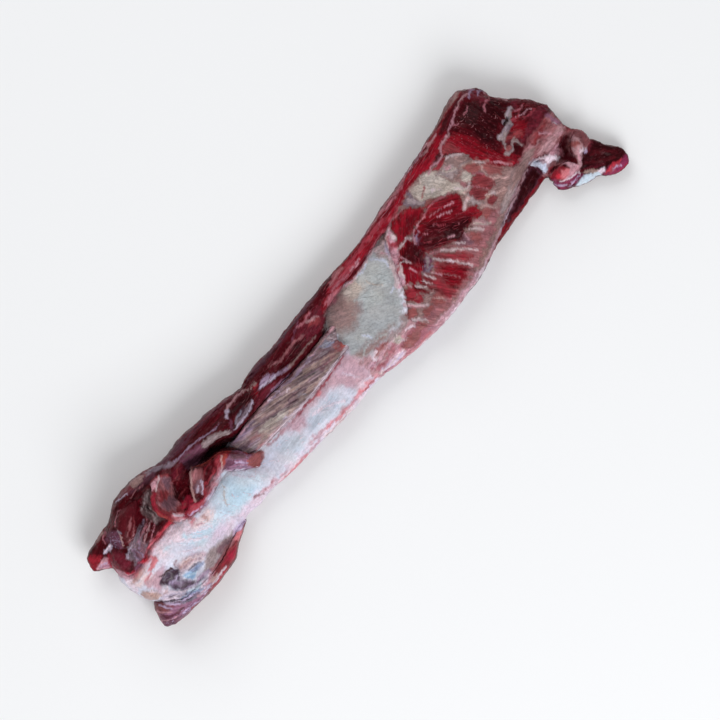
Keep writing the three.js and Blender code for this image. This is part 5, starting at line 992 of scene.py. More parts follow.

# %% Patches and strands of the silverskin flap
# The darkest strands between the bands below are painted shade in their grooves.
# The umber patch below is painted shadow along the lower edge of the pale blue-grey patch.
# The white speck below is a fleck of fat, painted white together with its glint.
FLAP = read_rows("""
silverskin 2 1 0 o -82,30 -78,12 -60,6 -30,2 12,2 14,24 -30,26 -60,30 @-22
lavender 3 1.2 0 o -77,27 -68,26.6 -58,24.6 -64,21.6 -74,22.6 @-22
silverskin brown 2.4 1.2 0 o -78,27 -74.6,26 -74,22 -70,19 -74,17 -78,20 @-22
pearl 2.4 1 0 o -73,17.6 -68,17 -66,14.6 -72,14.6 @-22
tan 2.6 1.2 0 o -70,15 -62,14.6 -56,14 -48,12 -44,9 -50,9.6 -60,10.6 -70,13 @-22
peach 3 1 0 o -60,13.6 -54,13 -48,11.6 -46,9.4 -52,10 -60,11.4 @-22
curd 3 1.4 0 o -64,17.6 -56,19 -48,16 -44,13 -48,11 -56,13 -62,14 @-22
pearl 1.4 0.8 0 o -49.6,12 -47,11 -45.4,9 -48.6,9 @-22
silverskin tan 2 1.2 0 o -46,10 -36,8 -26,7 -6,6.6 2,6.6 2,11 -8,9.6 -20,10 -34,11.6 -44,12.6 @-22
clay 2.4 1.2 0 o -16,12 -10,14 -2,12 0,9 -6,8.6 -14,9.6 @-22
silverskin brown 2 0.8 0 ~ -73,21.4 -66,20.8 -58,19.8 -50,17.4 -43,14.6 -37,12 @-22
silverskin brown 1.6 0.8 0 ~ -66,24.6 -58,22.4 -50,20.4 -45,18.4 @-22
silverskin brown 2.6 0.8 0 ~ -48,19.6 -41,16.8 -34,14.4 -28,12 -21,9.4 @-22
dusk 1.3 0.8 0 ~ -42,17 -36,15.2 -30,12.8 -23,10.2 @-22
silverskin brown 2.2 0.8 0 ~ -34,20 -27,17.6 -21,15.4 -14,13 -8,10.4 @-22
dusk 1.1 0.8 0 ~ -28,17.8 -22,16 -17,14 @-22
silverskin brown 2 0.8 0 ~ -24,19.4 -16,17.4 -9,14.6 -2,12 @-22
silverskin brown 1.4 0.8 0 ~ -52,23.4 -44,21 -37,18.2 @-22
silverskin tan 1.3 0.8 0.1 ~ -62,23.4 -54,20.8 -46,17.6 -40,15 @-22
silverskin tan 1.4 0.8 0.1 ~ -46,21.4 -39,18.8 -32,16.2 -25,13.4 @-22
silverskin tan 1.3 0.8 0.1 ~ -36,21.6 -28,19 -20,16 -12,12.6 @-22
silverskin tan 1.2 0.8 0.1 ~ -22,18 -16,15.6 -10,13.2 -5,11 @-22
lavender 1.8 0.8 0 ~ -52,24.6 -44,23.4 -36,22 -28,20.6
lavender 1.3 0.8 0 ~ -30,20.4 -22,20 -14,19.2 -6,18.4
lavender 1 0.8 0 ~ -42,21.6 -38,19.6 -35,17.6
pale rose 0.9 0.5 0.1 ~ -70,25.9 -60,25.4 -50,25 -43,24.3
wine 0.8 0.6 0 o -79,28 -72,26.8 -60,26 -50,25.5 -43,24.9 -38,23.9 -38,30 -79,32 @-8
maroon 0.8 0.6 0 o -40,24.3 -34,22.6 -28,21.5 -21,21.6 -16,20.4 -10,19.5 4,19.3 8,26 -40,30 @-8
slate 1.2 0.8 0 ~ -34,12.6 -32,11 -31,9.8
lavender 1.2 0.8 0 ~ -73,18.6 -69,16.6 -66,15.6
clay 1.6 0.8 0 ~ -69,20.6 -66,18.6 -64,16.8
umber 0.9 0.5 0 o -3,14 0,13.4 3,14 5,13.6 4.6,12.4 0,12 -4,13
blue grey 0.8 0.8 0.2 o -6,18.8 2,18.6 6.4,16.2 5.4,13.6 3.4,14.2 1,13.2 -2.4,13.9 -4,15.6
veil 0.8 0.6 0.2 o 0,18.5 4,17.6 6,16 4.6,14 2,13.8 0,15.6
ice 1 0.6 0.3 ~ -4,17.4 -1.6,16 1,15.6
milk 0.8 0.6 0.3 ~ 1.6,17.6 3,15.6 3.2,14
milk 0.8 0.6 0.3 ~ 4.4,17 5.6,15 5.4,13.6
beige rose 0.9 0.6 0 o 4,19.2 8,19.4 10.8,18.6 8,17.6 5.4,17.4
rust 1.4 1 0 o -2,12.6 4.8,13 4.8,6.4 -1,6.8
clay 1 0.8 0.1 o -2.4,10.6 1.6,11 2,8 -1.6,7.4
salmon 1.4 0.8 0 ~ -72,13.4 -66,12.2 -60,11.4 -54,10.6
milk 1.5 0.2 0.4 ~ -76,14.2 -72,12.8 -66,11.9 -60,11.2 -54,10.2 -48,9.3 -40,8 -34,7.4
milk 1.5 0.2 0.4 ~ -36,7.6 -28,6.9 -20,6.5 -12,6.3 -4,6.3 4,6.2
pale rose 0.9 0.4 0.3 ~ 4.6,6.4 4.8,9 4.6,12 5.6,14.4 6.2,16
pale rose 0.8 0.4 0.3 ~ -12,19.4 -4,18.9 4,18.8 10,18.7
milk 0.9 0.5 0.4 ~ -36,18.4 -34.4,19.4 -33.6,18
milk 0.7 0.5 0.3 ~ -45.6,24.8 -44.6,23 -43.8,22.4
lilac 0.8 0.5 0.3 ~ -40,24.6 -38,22.6 -38.6,21.4
""")
TOP = KNUCKLE_END + BARE_BONE + LONG_STRIP + CUT_END

# %% [markdown]
# ## Laying the tissues on the skin
# For every point of a piece, each row says how far inside its outline the point lies. The edge wanders with
# noise, so no border is a clean drawn line. The tissue then covers that share of the point. Masks in a
# material could do this too, but the rows also raise the surface, so they are laid on the mesh.


# %% Distances to outlines and lines
def distance_to_line(points, line):
    """How far each point is from a line of straight parts."""
    best = np.full(len(points), np.inf)
    for a, b in zip(line[:-1], line[1:]):
        along = b - a
        t = np.clip((points - a) @ along / (along @ along), 0, 1)
        best = np.minimum(best, ((points - a - t[:, None] * along) ** 2).sum(1))
    return np.sqrt(best)


def depth_inside(points, outline):
    """How far each point is inside a closed outline. Outside, it is negative."""
    closed = np.vstack([outline, outline[:1]])
    inside = np.zeros(len(points), bool)
    x, y = points.T
    for (ax, ay), (bx, by) in zip(closed[:-1], closed[1:]):
        if ay != by:
            crosses = (ay > y) != (by > y)
            inside ^= crosses & (x < (bx - ax) * (y - ay) / (by - ay) + ax)
    distance = distance_to_line(points, closed)
    return np.where(inside, distance, -distance)


# %% How borders wander
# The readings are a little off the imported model's origin
READING_SHIFT = np.array([0.30, 0.14])
# Size of the noise, and its seeds for x and y
COARSE = (5, (3, 9))
FINE = (1.8, (21, 27))
FINE_SHARE, FINE_WANDER = 0.25, 0.35
# Noise that frays a border: its stretch along the fibres, its size, seed and reach
COMB_STRETCH, COMB_SIZE, COMB_SEED, COMB_REACH = 0.15, 0.9, 33, 1.2


def drift(co, size, seeds):
    """How far noise moves each point along x and y."""
    return np.stack([rough_noise(co, size, seed) for seed in seeds], 1)


def combed(at, height, turn, wander):
    """Places drawn out along the fibres, so that a border frays into them."""
    along = np.array([math.cos(turn), math.sin(turn)])
    comb = np.stack([at @ along * COMB_STRETCH, at @ [-along[1], along[0]], height * 0], 1)
    return at + noise(comb, COMB_SIZE, COMB_SEED)[:, None] * along * (COMB_REACH + wander)


def swinging(co, middle, swing, size, seed, least, most):
    """A value that noise moves up and down around its middle."""
    return np.clip(middle + swing * rough_noise(co, size, seed), least, most)


# %% Lay the rows
# How far up the surface has to face before rows start to cover it, and before they cover it fully
SHOWN_FROM, SHOWN_BY = -0.05, 0.3
# Cover of a patch, and width of a strand: middle, swing, size and seed of the noise, least and most
PATCH_COVER = (0.98, 0.4, 3.4, 29, 0.4, 1)
STRAND_WIDTH = (1, 0.6, 4.2, 39, 0.3, 2)
# A strand covers this much near its line, up to the first share of its width, and nothing past the second
STRAND_COVER = 0.75
STRAND_FULL, STRAND_GONE = 0.2, 0.8
# How far outside a row's corners its reach ends, apart from its softness and its wandering
MARGIN = 3
# A patch has thin places near its edge, which fade out between these depths
SOLID_FROM, SOLID_BY = 0.4, 2.2


def lay(co, facing, start, rows):
    """The tissue values, rise and grain angle of each point, seen from above."""
    values = np.tile(tissue(start), (len(co), 1))
    rise, grain = np.zeros(len(co)), np.zeros(len(co))
    flat = co[:, :2] + READING_SHIFT
    coarse, fine = drift(co, *COARSE), drift(co, *FINE)
    patchy, uneven = swinging(co, *PATCH_COVER), swinging(co, *STRAND_WIDTH)
    shown = step(SHOWN_FROM, SHOWN_BY, facing[:, 2])
    for kind, name, soft, wander, lift, line, turn in rows:
        margin = MARGIN + soft * 2 + wander
        near = ((flat > line.min(0) - margin) & (flat < line.max(0) + margin)).all(1)
        at = flat[near] + coarse[near] * wander + fine[near] * (FINE_SHARE + wander * FINE_WANDER)
        if turn is not None:
            at = combed(at, co[near, 2], math.radians(turn), wander)
        if kind == "patch":
            inside = depth_inside(at, line)
            thin = (1 - patchy[near]) * (1 - step(SOLID_FROM, SOLID_BY, inside))
            cover = step(-soft / 2, soft / 2, inside) * (1 - thin)
        else:
            distance = distance_to_line(at, line) / uneven[near]
            cover = STRAND_COVER * (1 - step(soft * STRAND_FULL, soft * STRAND_GONE, distance))
        cover = cover * shown[near]
        values[near] += (tissue(name) - values[near]) * cover[:, None]
        rise[near] += lift * cover
        if turn is not None:
            grain[np.flatnonzero(near)[cover > 0.5]] = turn
    return values, rise, grain


# %% [markdown]
# ## Finishing a piece
# The sides and the underside don't show in the plain view from above, but the rib is looked at from there
# as well. The sides carry on the tissues of their edge and darken into raw muscle. The underside has thin
# membrane over muscle, or the smooth inner face of the bone. The look of each point is stored in
# attributes, which a material can read and which an export can bake.


# %% Broad marks that lie over the rows
# How far bands bend, over what length, and over what depth they change
BAND_BEND, BEND_LENGTH, BAND_DEPTH = 1.2, 12, 9
# Swing of the light in small spots, what fibres add to it, and its swing in broad stains
SPOTS, FIBRE_SPOTS, STAINS = 0.06, 0.12, 0.08
WARMTH = 0.05
# Size and seed of each noise
SPOT_NOISE, STAIN_NOISE, WARMTH_NOISE = (3.2, 41), (14, 31), (8, 51)


def mix(values, name, share):
    """Covers a share of each point with a tissue."""
    return values + (tissue(name) - values) * np.clip(share, 0, 1)[:, None]


def turned(co, turn):
    """How far each point lies along and across a direction, given in degrees."""
    turn = np.radians(turn)
    along = co[:, 0] * np.cos(turn) + co[:, 1] * np.sin(turn)
    return along, co[:, 1] * np.cos(turn) - co[:, 0] * np.sin(turn)


def stripes(co, turn, length, width, seed):
    """Noise drawn out along one direction."""
    along, across = turned(co, turn)
    bent = across + BAND_BEND * noise(co, BEND_LENGTH, seed + 5)
    return rough_noise(np.stack([along / length, bent / width, co[:, 2] / BAND_DEPTH], 1), 1, seed)


def scatter(values, co, tissues, where, low, high):
    """Lays tissues in noisy blots over a part of the piece."""
    for name, size, seed, share in tissues:
        values = mix(values, name, where * share * step(low, high, rough_noise(co, size, seed)))
    return values


def dappled(values, co):
    """The tissue values with their light made uneven, and warmer or cooler from place to place."""
    spots = (SPOTS + FIBRE_SPOTS * values[:, FIBRE]) * rough_noise(co, *SPOT_NOISE)
    values[:, LIGHT] *= (1 + spots + STAINS * rough_noise(co, *STAIN_NOISE))[:, None]
    warm = 1 + WARMTH * noise(co, *WARMTH_NOISE)
    values[:, 0] *= warm
    values[:, 2] /= warm
    return values


# %% Store the marks on the mesh
# The tissues of a side or an underside cover fully where it faces up less than the first value, and end at
# the second
SIDE_UP, UNDER_UP = (0.1, 0.5), (-0.6, -0.2)
# Their blots begin and are full at these levels of the noise
SIDE_BLOTS, UNDER_BLOTS = (-0.2, 0.5), (-0.35, 0.35)
# Level of the noise where bands cover fully, and the height of ridges on bands and on creased skin
BAND_FULL, BAND_RIDGE, CREASE_RIDGE = 0.3, 0.25, 0.22
CREASE_NOISE, LUMP_SEED = (3.4, 67), 61
# The relief fades out below this height, so that the rib still lies flat
FOOT = 3


def store(mesh, name, kind, values):
    """Writes one attribute of the points of a mesh."""
    field = "color" if kind == "FLOAT_COLOR" else "vector"
    mesh.attributes.new(name, kind, "POINT").data.foreach_set(field, values.astype(np.float32).ravel())


def finish_piece(piece, start, rows, side, under, bumps, bands=()):
    """Lays the tissues, raises the relief and stores the marks that the finish reads."""
    co, facing = get_places(piece), get_normals(piece)
    values, rise, grain = lay(co, facing, start, rows)
    for name, turn, length, width, seed, share in bands:
        drawn = stripes(co, turn, length, width, seed)
        values = mix(values, name, share * step(0, BAND_FULL, drawn))
        rise += BAND_RIDGE * drawn
    up = facing[:, 2]
    values = scatter(values, co, side, 1 - step(*SIDE_UP, up), *SIDE_BLOTS)
    values = scatter(values, co, under, 1 - step(*UNDER_UP, up), *UNDER_BLOTS)
    values = dappled(values, co)
    lumpy = sum(height * rough_noise(co, size, LUMP_SEED + k) for k, (size, height) in enumerate(bumps))
    lumpy += values[:, CREASE] * CREASE_RIDGE * rough_noise(co, *CREASE_NOISE)
    floor_free = step(0, FOOT, co[:, 2])
    put_places(piece, co + facing * ((rise + lumpy) * floor_free)[:, None])
    tone = np.column_stack([np.clip(values[:, LIGHT], 0, 1), values[:, CREASE]])
    store(piece.data, "tone", "FLOAT_COLOR", tone)
    store(piece.data, "nature", "FLOAT_VECTOR", values[:, NATURE])
    store(piece.data, "fibre", "FLOAT_VECTOR", np.column_stack([*turned(co, grain), co[:, 2]]))
    print(piece.name, "finished,", len(co), "points")


# %% Finish the four pieces
# Tissues of sides and undersides: name, size of the blots, seed and share
MEAT_SIDE = [("maroon", 9, 71, 0.7), ("mauve", 6, 73, 0.35), ("red", 7, 75, 0.4)]
MEAT_UNDER = [("rose brown", 20, 81, 1), ("maroon", 12, 83, 0.9), ("beige rose", 8, 85, 0.6)]
BONE_SIDE = [("bone pink", 9, 91, 0.5), ("bone rose", 6, 93, 0.5)]
BONE_UNDER = [("bone rose", 24, 95, 0.8), ("bone grey", 14, 97, 0.7), ("rose brown", 6, 99, 0.4)]
FLAP_UNDER = [("beige rose", 6, 95, 0.6)]
# Bands over the whole flap: name, angle, length, width, seed and share
BANDS = [
    ("silverskin tan", -22, 34, 3.6, 11, 0.45),
    ("silverskin brown", -23, 30, 3, 13, 0.4),
    ("silverskin grey", -22, 26, 1.6, 15, 0.3),
    ("silverskin brown", -24, 14, 0.9, 17, 0.26),
]
# The last list has the width and height of the lumps
finish_piece(bone, "bone", TOP, BONE_SIDE, BONE_UNDER, [(14, 0.25), (5, 0.2), (2.4, 0.08)])
finish_piece(meat, "maroon", TOP, MEAT_SIDE, MEAT_UNDER, [(9, 0.4), (4, 0.24), (2, 0.12)])
finish_piece(flap, "silverskin", FLAP, [], FLAP_UNDER, [(6, 0.15)], BANDS)
finish_piece(remnant, "brown red", TOP, MEAT_SIDE[:2], MEAT_UNDER, [(7, 0.3), (2.4, 0.12)])

# %% [markdown]
# ## Threads of fat and skin
# Pale threads lie on the meat: fingers of fat between the muscles, rims of torn membrane, and fine
# marbling. On a real rib they stand a little proud and catch the light. Bump alone has no edge that casts a
# shadow, and curves would float over hollows. So each is a narrow rounded ridge with pointed ends, laid
# point by point on the skin. It takes part of its tone from the skin under it, so that it grows out of the
# meat.

# %% Find the surface from above
SKY = 60
DOWN = Vector((0, 0, -1))
PIECES = (bone, meat, flap, remnant)


def tree_of(piece):
    """A search tree of a piece's finished skin."""
    shape = bmesh.new()
    shape.from_mesh(piece.data)
    tree = BVHTree.FromBMesh(shape)
    shape.free()
    return tree


def looks_of(piece):
    """The tissue values at one corner of each face of a piece."""
    mesh = piece.data
    count = len(mesh.vertices)
    tone, nature = np.empty((count, 4), np.float32), np.empty((count, 3), np.float32)
    mesh.attributes["tone"].data.foreach_get("color", tone.ravel())
    mesh.attributes["nature"].data.foreach_get("vector", nature.ravel())
    corner = [face.vertices[0] for face in mesh.polygons]
    return np.column_stack([tone[:, :3], nature, tone[:, 3]])[corner]


SURFACES = [(tree_of(piece), looks_of(piece)) for piece in PIECES]
print(sum(len(looks) for _, looks in SURFACES), "faces to lay threads on")


# %% Height and look of the topmost skin
def height_at(x, y, reach=0.0):
    """The height of the topmost skin within reach of a place, in millimetres, or None beside the rib."""
    heights = []
    for dx, dy in ((0, 0), (reach, 0), (-reach, 0), (0, reach), (0, -reach))[: 5 if reach else 1]:
        hits = [tree.ray_cast(Vector((x + dx, y + dy, SKY)) * MM, DOWN)[0] for tree, _ in SURFACES]
        heights += [hit.z / MM for hit in hits if hit]
    return max(heights) if heights else None


def look_at(x, y):
    """The tissue values of the topmost skin at a place."""
    top, look = 0, tissue("maroon")
    for tree, looks in SURFACES:
        hit, _, face, _ = tree.ray_cast(Vector((x, y, SKY)) * MM, DOWN)
        if hit and hit.z > top:
            top, look = hit.z, looks[face]
    return look


# %% Lines that the threads follow
# Distance between the rings of a thread
RING_GAP = 0.55
# A thread winds with the reach and length of each wave
WAVES = [(0.4, 1.7), (0.8, 4)]


def rounded(line, rounds=2):
    """A line with its corners cut off."""
    for _ in range(rounds):
        quarter, three = line[:-1] * 0.75 + line[1:] * 0.25, line[:-1] * 0.25 + line[1:] * 0.75
        between = np.stack([quarter, three], 1).reshape(-1, 2)
        line = np.vstack([line[:1], between, line[-1:]])
    return line


def evenly(line, gap):
    """Points at even distances along a line."""
    run = np.concatenate([[0], np.cumsum(np.linalg.norm(np.diff(line, axis=0), axis=1))])
    places = np.linspace(0, run[-1], max(4, int(run[-1] / gap) + 1))
    return np.stack([np.interp(places, run, line[:, i]) for i in (0, 1)], 1)


def sideways(path):
    """The direction across a path at each of its points."""
    along = np.gradient(path, axis=0)
    along /= np.linalg.norm(along, axis=1)[:, None]
    return np.stack([-along[:, 1], along[:, 0]], 1)


# %% One thread
SIDES = 6
REACH = 0.5
# A thread isn't laid over a taller step than this, and its edge doesn't drop further than this
TALLEST_STEP, DEEPEST_EDGE = 2.2, 0.9
# The share of a thread's tone that is its own, and how much of that is left at its ends
OWN_SHARE, END_SHARE = 0.72, 0.3
# The power that blunts its ends, and how much its width swells over what length
BLUNTNESS = 0.7
SWELL, SWELL_LENGTH = 0.8, 2.6


def thread(shape, layers, line, width, rise, name, seed, sway):
    """Lays a low ridge of a tissue along a line. Gives 1, or 0 where the line has no even bed."""
    path = evenly(rounded(line), RING_GAP)
    flat = np.column_stack([path, np.zeros(len(path))])
    for k, (reach, period) in enumerate(WAVES):
        path = path + sway * reach * np.stack([noise(flat, period, seed + 7 * k + i) for i in (0, 1)], 1)
    heights = [height_at(x, y, REACH) for x, y in path]
    if None in heights or np.abs(np.diff(heights)).max() > TALLEST_STEP:
        return 0
    last = len(path) - 1
    share = np.linspace(0, 1, last + 1)
    # It widens over its first quarter and narrows over its second half
    taper = np.clip(np.minimum(share * 4, (1 - share) * 2), 0, 1) ** BLUNTNESS
    half = width / 2 * taper * (1 + SWELL * noise(flat, SWELL_LENGTH, seed + 2))
    side = sideways(path)
    bed = np.array([look_at(x, y) for x, y in path])
    own = OWN_SHARE * (END_SHARE + (1 - END_SHARE) * taper)[:, None]
    light = bed + (tissue(name) - bed) * own
    for vert in bmesh.ops.create_grid(shape, x_segments=last, y_segments=SIDES, size=0.5)["verts"]:
        i = round((vert.co.x + 0.5) * last)
        turn = math.tau * round((vert.co.y + 0.5) * SIDES) / SIDES
        place = path[i] + side[i] * half[i] * math.cos(turn)
        top = height_at(*place)
        if top is None or abs(top - heights[i]) > DEEPEST_EDGE:
            top = heights[i]
        vert.co = Vector((*place, top + rise * taper[i] * math.sin(turn))) * MM
        vert[layers["tone"]] = (*light[i, LIGHT], light[i, CREASE])
        vert[layers["nature"]] = light[i, NATURE]
        vert[layers["fibre"]] = (i * RING_GAP, width * turn, 0)
    return 1


# %% Threads along the strands of the tables
RAISED = 0.15
CORE, CORE_RISE = 0.33, 0.6


def lay_strands(shape, layers):
    """A thread along the core of each raised strand. Gives their number."""
    laid = 0
    for k, (kind, name, width, wander, rise, line, _) in enumerate(TOP + FLAP):
        if kind == "strand" and rise > RAISED:
            line = line - READING_SHIFT
            middle = line.mean(0)
            place = np.array([[*middle, height_at(*middle) or 0]])
            line = line - drift(place, *COARSE)[0] * wander
            laid += thread(shape, layers, line, width * CORE, rise * CORE_RISE, name, k, wander)
    return laid


# %% Fields of fine threads
FIELDS = [
    # tissue, count, longest, width, angle, bend, area
    ("milk", 60, 4, 0.5, -48, 1, "-146,24 -128,22 -112,16 -96,12 -90,0 -108,0 -124,6 -140,14"),
    ("milk", 34, 4, 0.5, -20, 1, "-90,12 -72,8 -46,4 -24,0 -16,-6 -26,-10 -50,-6 -74,0 -90,0"),
    ("sky", 24, 3, 0.5, -48, 1, "-140,20 -126,18 -112,14 -108,4 -124,8 -136,12"),
    ("ruby", 30, 10, 0.26, -40, 0.5, "72,9 80,12 96,12 105,5 104,-9 92,-9 80,-5 72,0"),
    ("garnet", 14, 6, 0.3, 20, 0.8, "68,19 75,26 84,23 90,14 78,13 64,15"),
    ("ruby", 14, 5, 0.3, 60, 0.6, "52,2 59,9 64,14 71,12 70,0 60,-3 54,-6"),
    ("rose brown", 34, 2.6, 0.44, -60, 3, "130,29 150,32 160,24 165,13 155,9 142,6 138,2 134,10"),
    ("ruby", 40, 1.6, 0.5, -70, 2, "128.6,27 137,28 139,14 139,4 141,-6 136,-2 132,8 130,18"),
    ("ruby", 24, 2.4, 0.4, -35, 1, "150,1 160,6 170,8 176,-6 160,-8 150,-5"),
    ("pale rose", 40, 2, 0.4, 35, 1, "-160,30 -158,42 -140,43 -132,38 -140,33 -150,31"),
    ("lavender", 24, 2, 0.4, 60, 1, "-162,44 -160,52 -152,53 -150,46 -156,42"),
    ("lavender", 30, 2.2, 0.4, -50, 1, "-91,21 -80,22 -77,15 -80,10 -86,13"),
    ("lilac", 30, 2.2, 0.4, -20, 1, "-180,-1 -172,-1 -160,-6 -148,-10 -165,-9 -178,-5"),
    ("brown red", 34, 8, 0.26, -80, 0.9, "130,29 150,32 160,24 165,13 155,9 142,6 138,2 134,10"),
    ("ruby", 16, 6, 0.28, -70, 0.6, "122,26 131,27 133,10 140,-4 133,-3 128,10"),
    ("brown red", 20, 5, 0.26, -30, 0.8, "150,1 160,6 170,8 176,-6 160,-8 150,-5"),
    ("ruby", 60, 14, 0.28, 2, 0.3, "12,29 20,36 60,34 100,34 126,35 120,29 100,30 80,28 60,29 38,27"),
    ("rose", 20, 10, 0.3, 2, 0.3, "12,29 20,36 60,34 100,34 126,35 120,29 100,30 80,28 60,29 38,27"),
    ("wine", 60, 16, 0.34, -5, 0.3,
     "-108,52 -90,50 -60,44 -20,39 10,35 8,26 -20,27 -50,29 -70,34 -86,40 -100,46"),
    ("clay", 22, 12, 0.28, -5, 0.3, "-70,42 -40,38 -10,36 10,33 6,26 -20,27 -50,29 -66,36"),
    ("brown red", 18, 6, 0.3, 30, 0.6, "-156,42 -146,54 -134,50 -148,40"),
    ("brick", 22, 8, 0.3, -62, 0.3, "44,-12 56,-8 70,-4 80,-10 90,-10 88,-22 70,-24 52,-20"),
]
PARTS = 5
FIELD_RISE, FIELD_SWAY, FIELD_SEED, DICE_SEED = 0.12, 0.5, 400, 7
# How many degrees threads turn off the angle of their field, and how much they curl and waver
ANGLE_SPREAD, CURL, WAVER = 9, 0.12, 0.1
# Most are short, and some are longer than the rest
SHORTEST = 0.35
LENGTHS, CHANCES = [0.5, 1, 1.4], [0.5, 0.3, 0.2]
THINNEST, WIDEST = 0.7, 1.3


def strewn_line(dice, area, longest, turn, bend):
    """A curling line that starts somewhere near an area."""
    start = dice.uniform(area.min(0), area.max(0))
    heading = math.radians(turn + dice.normal(0, ANGLE_SPREAD))
    pace = dice.uniform(SHORTEST, 1) * longest / PARTS
    curl = dice.normal(0, bend * CURL)
    pace *= dice.choice(LENGTHS, p=CHANCES)
    line = [start]
    for _ in range(PARTS):
        heading += curl + dice.normal(0, bend * WAVER)
        line.append(line[-1] + pace * np.array([math.cos(heading), math.sin(heading)]))
    return np.array(line)


def lay_fields(shape, layers):
    """Threads strewn over each field. Gives their number."""
    laid = 0
    dice = np.random.default_rng(DICE_SEED)
    for name, count, longest, width, turn, bend, text in FIELDS:
        area = corners(text) - READING_SHIFT
        while count:
            line = strewn_line(dice, area, longest, turn, bend)
            if depth_inside(line, area).min() > 0:
                wide = width * dice.uniform(THINNEST, WIDEST)
                laid += thread(shape, layers, line, wide, FIELD_RISE, name, FIELD_SEED + count, FIELD_SWAY)
                count -= 1
    return laid


# %% Make the threads one piece
SEAM = 0.004


def lay_threads():
    """All raised strands of the tables, and the fields of fine threads, as one piece."""
    shape = bmesh.new()
    kinds = shape.verts.layers
    layers = {"tone": kinds.float_color.new("tone")}
    layers |= {name: kinds.float_vector.new(name) for name in ("nature", "fibre")}
    laid = lay_strands(shape, layers) + lay_fields(shape, layers)
    bmesh.ops.remove_doubles(shape, verts=shape.verts, dist=SEAM * MM)
    bmesh.ops.recalc_face_normals(shape, faces=shape.faces)
    mesh = bpy.data.meshes.new("threads")
    shape.to_mesh(mesh)
    shape.free()
    mesh.polygons.foreach_set("use_smooth", np.ones(len(mesh.polygons), bool))
    piece = bpy.data.objects.new("threads", mesh)
    bpy.context.scene.collection.objects.link(piece)
    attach(piece, "root")
    print(laid, "threads,", len(mesh.polygons) * 2, "triangles")
    return piece


threads = lay_threads()

# %% [markdown]
# ## The wet finish
# Raw meat is dark, a little see-through and wet: a thin film of juice gives small glints over a soft
# surface. An image of meat would look right from one side only, so the finish is built from noise and from
# the stored marks. The tone of each point is broken up by fibres that run along its grain, by painted shade
# in the furrows of creases and painted highlight on their ridges, and by flecks of fat.


# %% Short names for steps between nodes
def link(tree, a, b):
    """Joins two sockets."""
    tree.links.new(a, b)


def maths(tree, kind, a, b):
    """A sum, product or other step of two values or sockets."""
    node = tree.nodes.new("ShaderNodeMath")
    node.operation = kind
    for socket, value in zip(node.inputs, (a, b)):
        if isinstance(value, (int, float)):
            socket.default_value = value
        else:
            link(tree, value, socket)
    return node.outputs[0]


def times(tree, a, b):
    """The product of two values or sockets."""
    return maths(tree, "MULTIPLY", a, b)


def plus(tree, a, b):
    """The sum of two values or sockets."""
    return maths(tree, "ADD", a, b)


def beyond(tree, value, level):
    """How far a socket is above a level."""
    return maths(tree, "SUBTRACT", value, level)


def off_middle(tree, value):
    """How far noise is from its middle, to either side."""
    return maths(tree, "ABSOLUTE", beyond(tree, value, 0.5), 0)


def remap(tree, value, from_low, from_high, to_low, to_high):
    """A value moved from one range to another, and kept inside it."""
    node = tree.nodes.new("ShaderNodeMapRange")
    for socket, number in zip(node.inputs[1:5], (from_low, from_high, to_low, to_high)):
        socket.default_value = number
    link(tree, value, node.inputs[0])
    return node.outputs[0]


# %% Noise that follows the fibres
# Stretch along, across and down through the fibres, then detail and roughness
STRANDS = ((0.1, 1.3, 0.9), 5, 0.6)
BUNDLES = ((0.06, 0.42, 0.3), 3, 0.5)
WINDING = ((0.1, 0.42, 0.4), 2, 0.55)
MARBLING = ((0.45, 0.9, 0.9), 3, 0.65)
FOLDS = ((0.22, 0.5, 0.5), 4, 0.6)
# The same all round, in metres
SPECKLE = ((900, 900, 900), 3, 0.55)
DAMP = ((260, 260, 260), 3, 0.55)


def grainy(tree, vector, look):
    """Noise from 0 to 1 over a place that is stretched along each axis."""
    stretch, detail, roughness = look
    scale = tree.nodes.new("ShaderNodeVectorMath")
    scale.operation = "MULTIPLY"
    scale.inputs[1].default_value = stretch
    link(tree, vector, scale.inputs[0])
    cloud = tree.nodes.new("ShaderNodeTexNoise")
    cloud.inputs["Scale"].default_value = 1
    cloud.inputs["Detail"].default_value = detail
    cloud.inputs["Roughness"].default_value = roughness
    link(tree, scale.outputs[0], cloud.inputs["Vector"])
    return cloud.outputs["Fac"]


def mark(tree, name):
    """The node that reads one attribute of the mesh."""
    node = tree.nodes.new("ShaderNodeAttribute")
    node.attribute_name = name
    return node


# %% Fibres, creases and flecks over the tone
# Fibres, bundles and grit swing the tone; creases swing it as painted shade and highlight
STRAND_SWING, BUNDLE_SWING, GRIT, CREASE_SHADING = 2.6, 2, 0.5, 0.42
# Width of a furrow in the noise, and the level that leaves the tone as it is
FURROW, EVEN = 0.07, 0.62
# Levels of the noise where flecks begin and are full, how strongly they show, and the most fat of any point
FLECK_EDGE, FLECK_STRENGTH, MOST_FAT = (0.6, 0.68), 2.6, 0.5
FLECK_TONE = (0.21, 0.065, 0.08, 1)
# Inner and outer edge of a vein, how strongly it shows, and the marbling between which veins begin
VEIN_EDGE, VEIN_STRENGTH, VEINED = (0.002, 0.014), 0.4, (0.45, 0.6)


def creases(tree, fibre, creased):
    """Creased skin gets painted shade in its furrows and painted highlight on the ridges between them."""
    furrow = remap(tree, off_middle(tree, grainy(tree, fibre, FOLDS)), 0, FURROW, 0, 1)
    return times(tree, beyond(tree, furrow, EVEN), creased)


